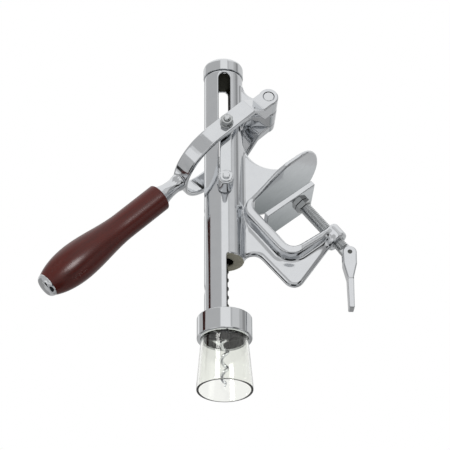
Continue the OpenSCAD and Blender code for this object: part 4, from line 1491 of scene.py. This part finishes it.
    def seen(self, tree: bpy.types.NodeTree) -> bpy.types.Node:
        """Adds the test for rays that see the white background: camera, glossy or clear."""
        path = add_node(tree, "ShaderNodeLightPath")
        mirrored = add_node(tree, "ShaderNodeMath", {
            0: path.outputs["Is Camera Ray"], 1: path.outputs["Is Glossy Ray"]},
            operation="MAXIMUM")
        return add_node(tree, "ShaderNodeMath", {
            0: mirrored.outputs[0], 1: path.outputs["Is Transmission Ray"]}, operation="MAXIMUM")

    def floor(self) -> None:
        """Lays the pale floor."""
        clear_selection()
        bpy.ops.mesh.primitive_plane_add(size=self.floor_size,
                                         location=(0, 0, self.floor_z * MM))
        floor = Workpiece("floor").obj
        material, tree, shader = start_material("pale_floor")
        plug(tree, shader, {"Base Color": linear(self.floor_tone), "Roughness": 0.9})
        seen = self.seen(tree)
        white = add_node(tree, "ShaderNodeEmission", {"Color": linear("#FFFFFF"), "Strength": 1.0})
        both = add_node(tree, "ShaderNodeMixShader", {
            0: seen.outputs[0], 1: shader.outputs["BSDF"], 2: white.outputs["Emission"]})
        out = next(n for n in tree.nodes if n.type == "OUTPUT_MATERIAL")
        tree.links.new(both.outputs[0], out.inputs["Surface"])
        floor.data.materials.append(material)

    def world(self) -> None:
        """Sets the white background and the even light of the room."""
        world = bpy.data.worlds.new("room")
        bpy.context.scene.world = world
        world.use_nodes = True
        tree = world.node_tree
        tree.nodes.clear()
        seen = self.seen(tree)
        room, white = (add_node(tree, "ShaderNodeBackground", {
            "Color": linear("#FFFFFF"), "Strength": strength}) for strength in (self.room, 1.0))
        both = add_node(tree, "ShaderNodeMixShader", {
            0: seen.outputs[0], 1: room.outputs[0], 2: white.outputs[0]})
        add_node(tree, "ShaderNodeOutputWorld", {"Surface": both.outputs[0]})

    def lamp(self, name: str, place: Triple, size: float, power: float) -> bpy.types.Object:
        """Hangs a square softbox that faces the part and isn't mirrored.

        Args:
            name: Name of the lamp.
            place: Its place in millimetres.
            size: Length of its sides in millimetres.
            power: Its power in watts.

        Returns:
            The lamp.
        """
        clear_selection()
        spot = Vector(place) * MM
        aim = (Vector(self.aim) * MM - spot).to_track_quat("-Z", "Y")
        bpy.ops.object.light_add(type="AREA", location=spot, rotation=aim.to_euler())
        lamp = bpy.context.active_object
        lamp.name = name
        lamp.data.shape = "SQUARE"
        lamp.data.size = size * MM
        lamp.data.energy = power
        lamp.visible_camera = False
        lamp.visible_glossy = False
        return lamp

    def wood_lamp(self) -> None:
        """Hangs the lamp whose mirror image is the soft streak along the wooden handle alone."""
        lamp = self.lamp("wood_strip", (440, -1655, -120), 600, 17)
        lamp.visible_glossy = True
        lamp.visible_diffuse = False
        lit = bpy.data.collections.new("lit_by_wood_strip")
        lit.objects.link(bpy.data.objects["handle_turned"])
        lamp.light_linking.receiver_collection = lit

    def camera(self) -> None:
        """Sets the camera where the photograph was taken."""
        clear_selection()
        bpy.ops.object.camera_add()
        camera = bpy.context.active_object
        camera.name = "photo_camera"
        right, up = Vector(self.right), Vector(self.up)
        axes = Matrix((right, up, right.cross(up))).transposed()
        camera.matrix_world = Matrix.Translation(Vector(self.eye) * MM) @ axes.to_4x4()
        camera.data.sensor_fit = "HORIZONTAL"
        camera.data.sensor_width = 36
        camera.data.lens = self.lens
        camera.data.clip_start = 0.05
        camera.data.clip_end = 50
        bpy.context.scene.camera = camera

    def build(self) -> None:
        """Sets up the whole studio."""
        self.tent()
        self.under_board()
        self.grey_flag()
        self.floor()
        self.world()
        for softbox in self.softboxes:
            self.lamp(*softbox)
        self.wood_lamp()
        self.camera()
        bpy.context.scene.view_settings.view_transform = "Standard"


def main() -> None:
    """Builds the sub-assemblies in order."""
    logging.basicConfig(level=logging.INFO, format="%(name)s %(message)s")
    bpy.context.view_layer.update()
    for assembly in (FrameCasting(), TubeEnds(), Lever(), Linkage(), Drive(), CounterClamp(),
                     Studio()):
        assembly.build()
        log.info("%s done", type(assembly).__name__)
    clear_selection()


if __name__ == "__main__":
    main()
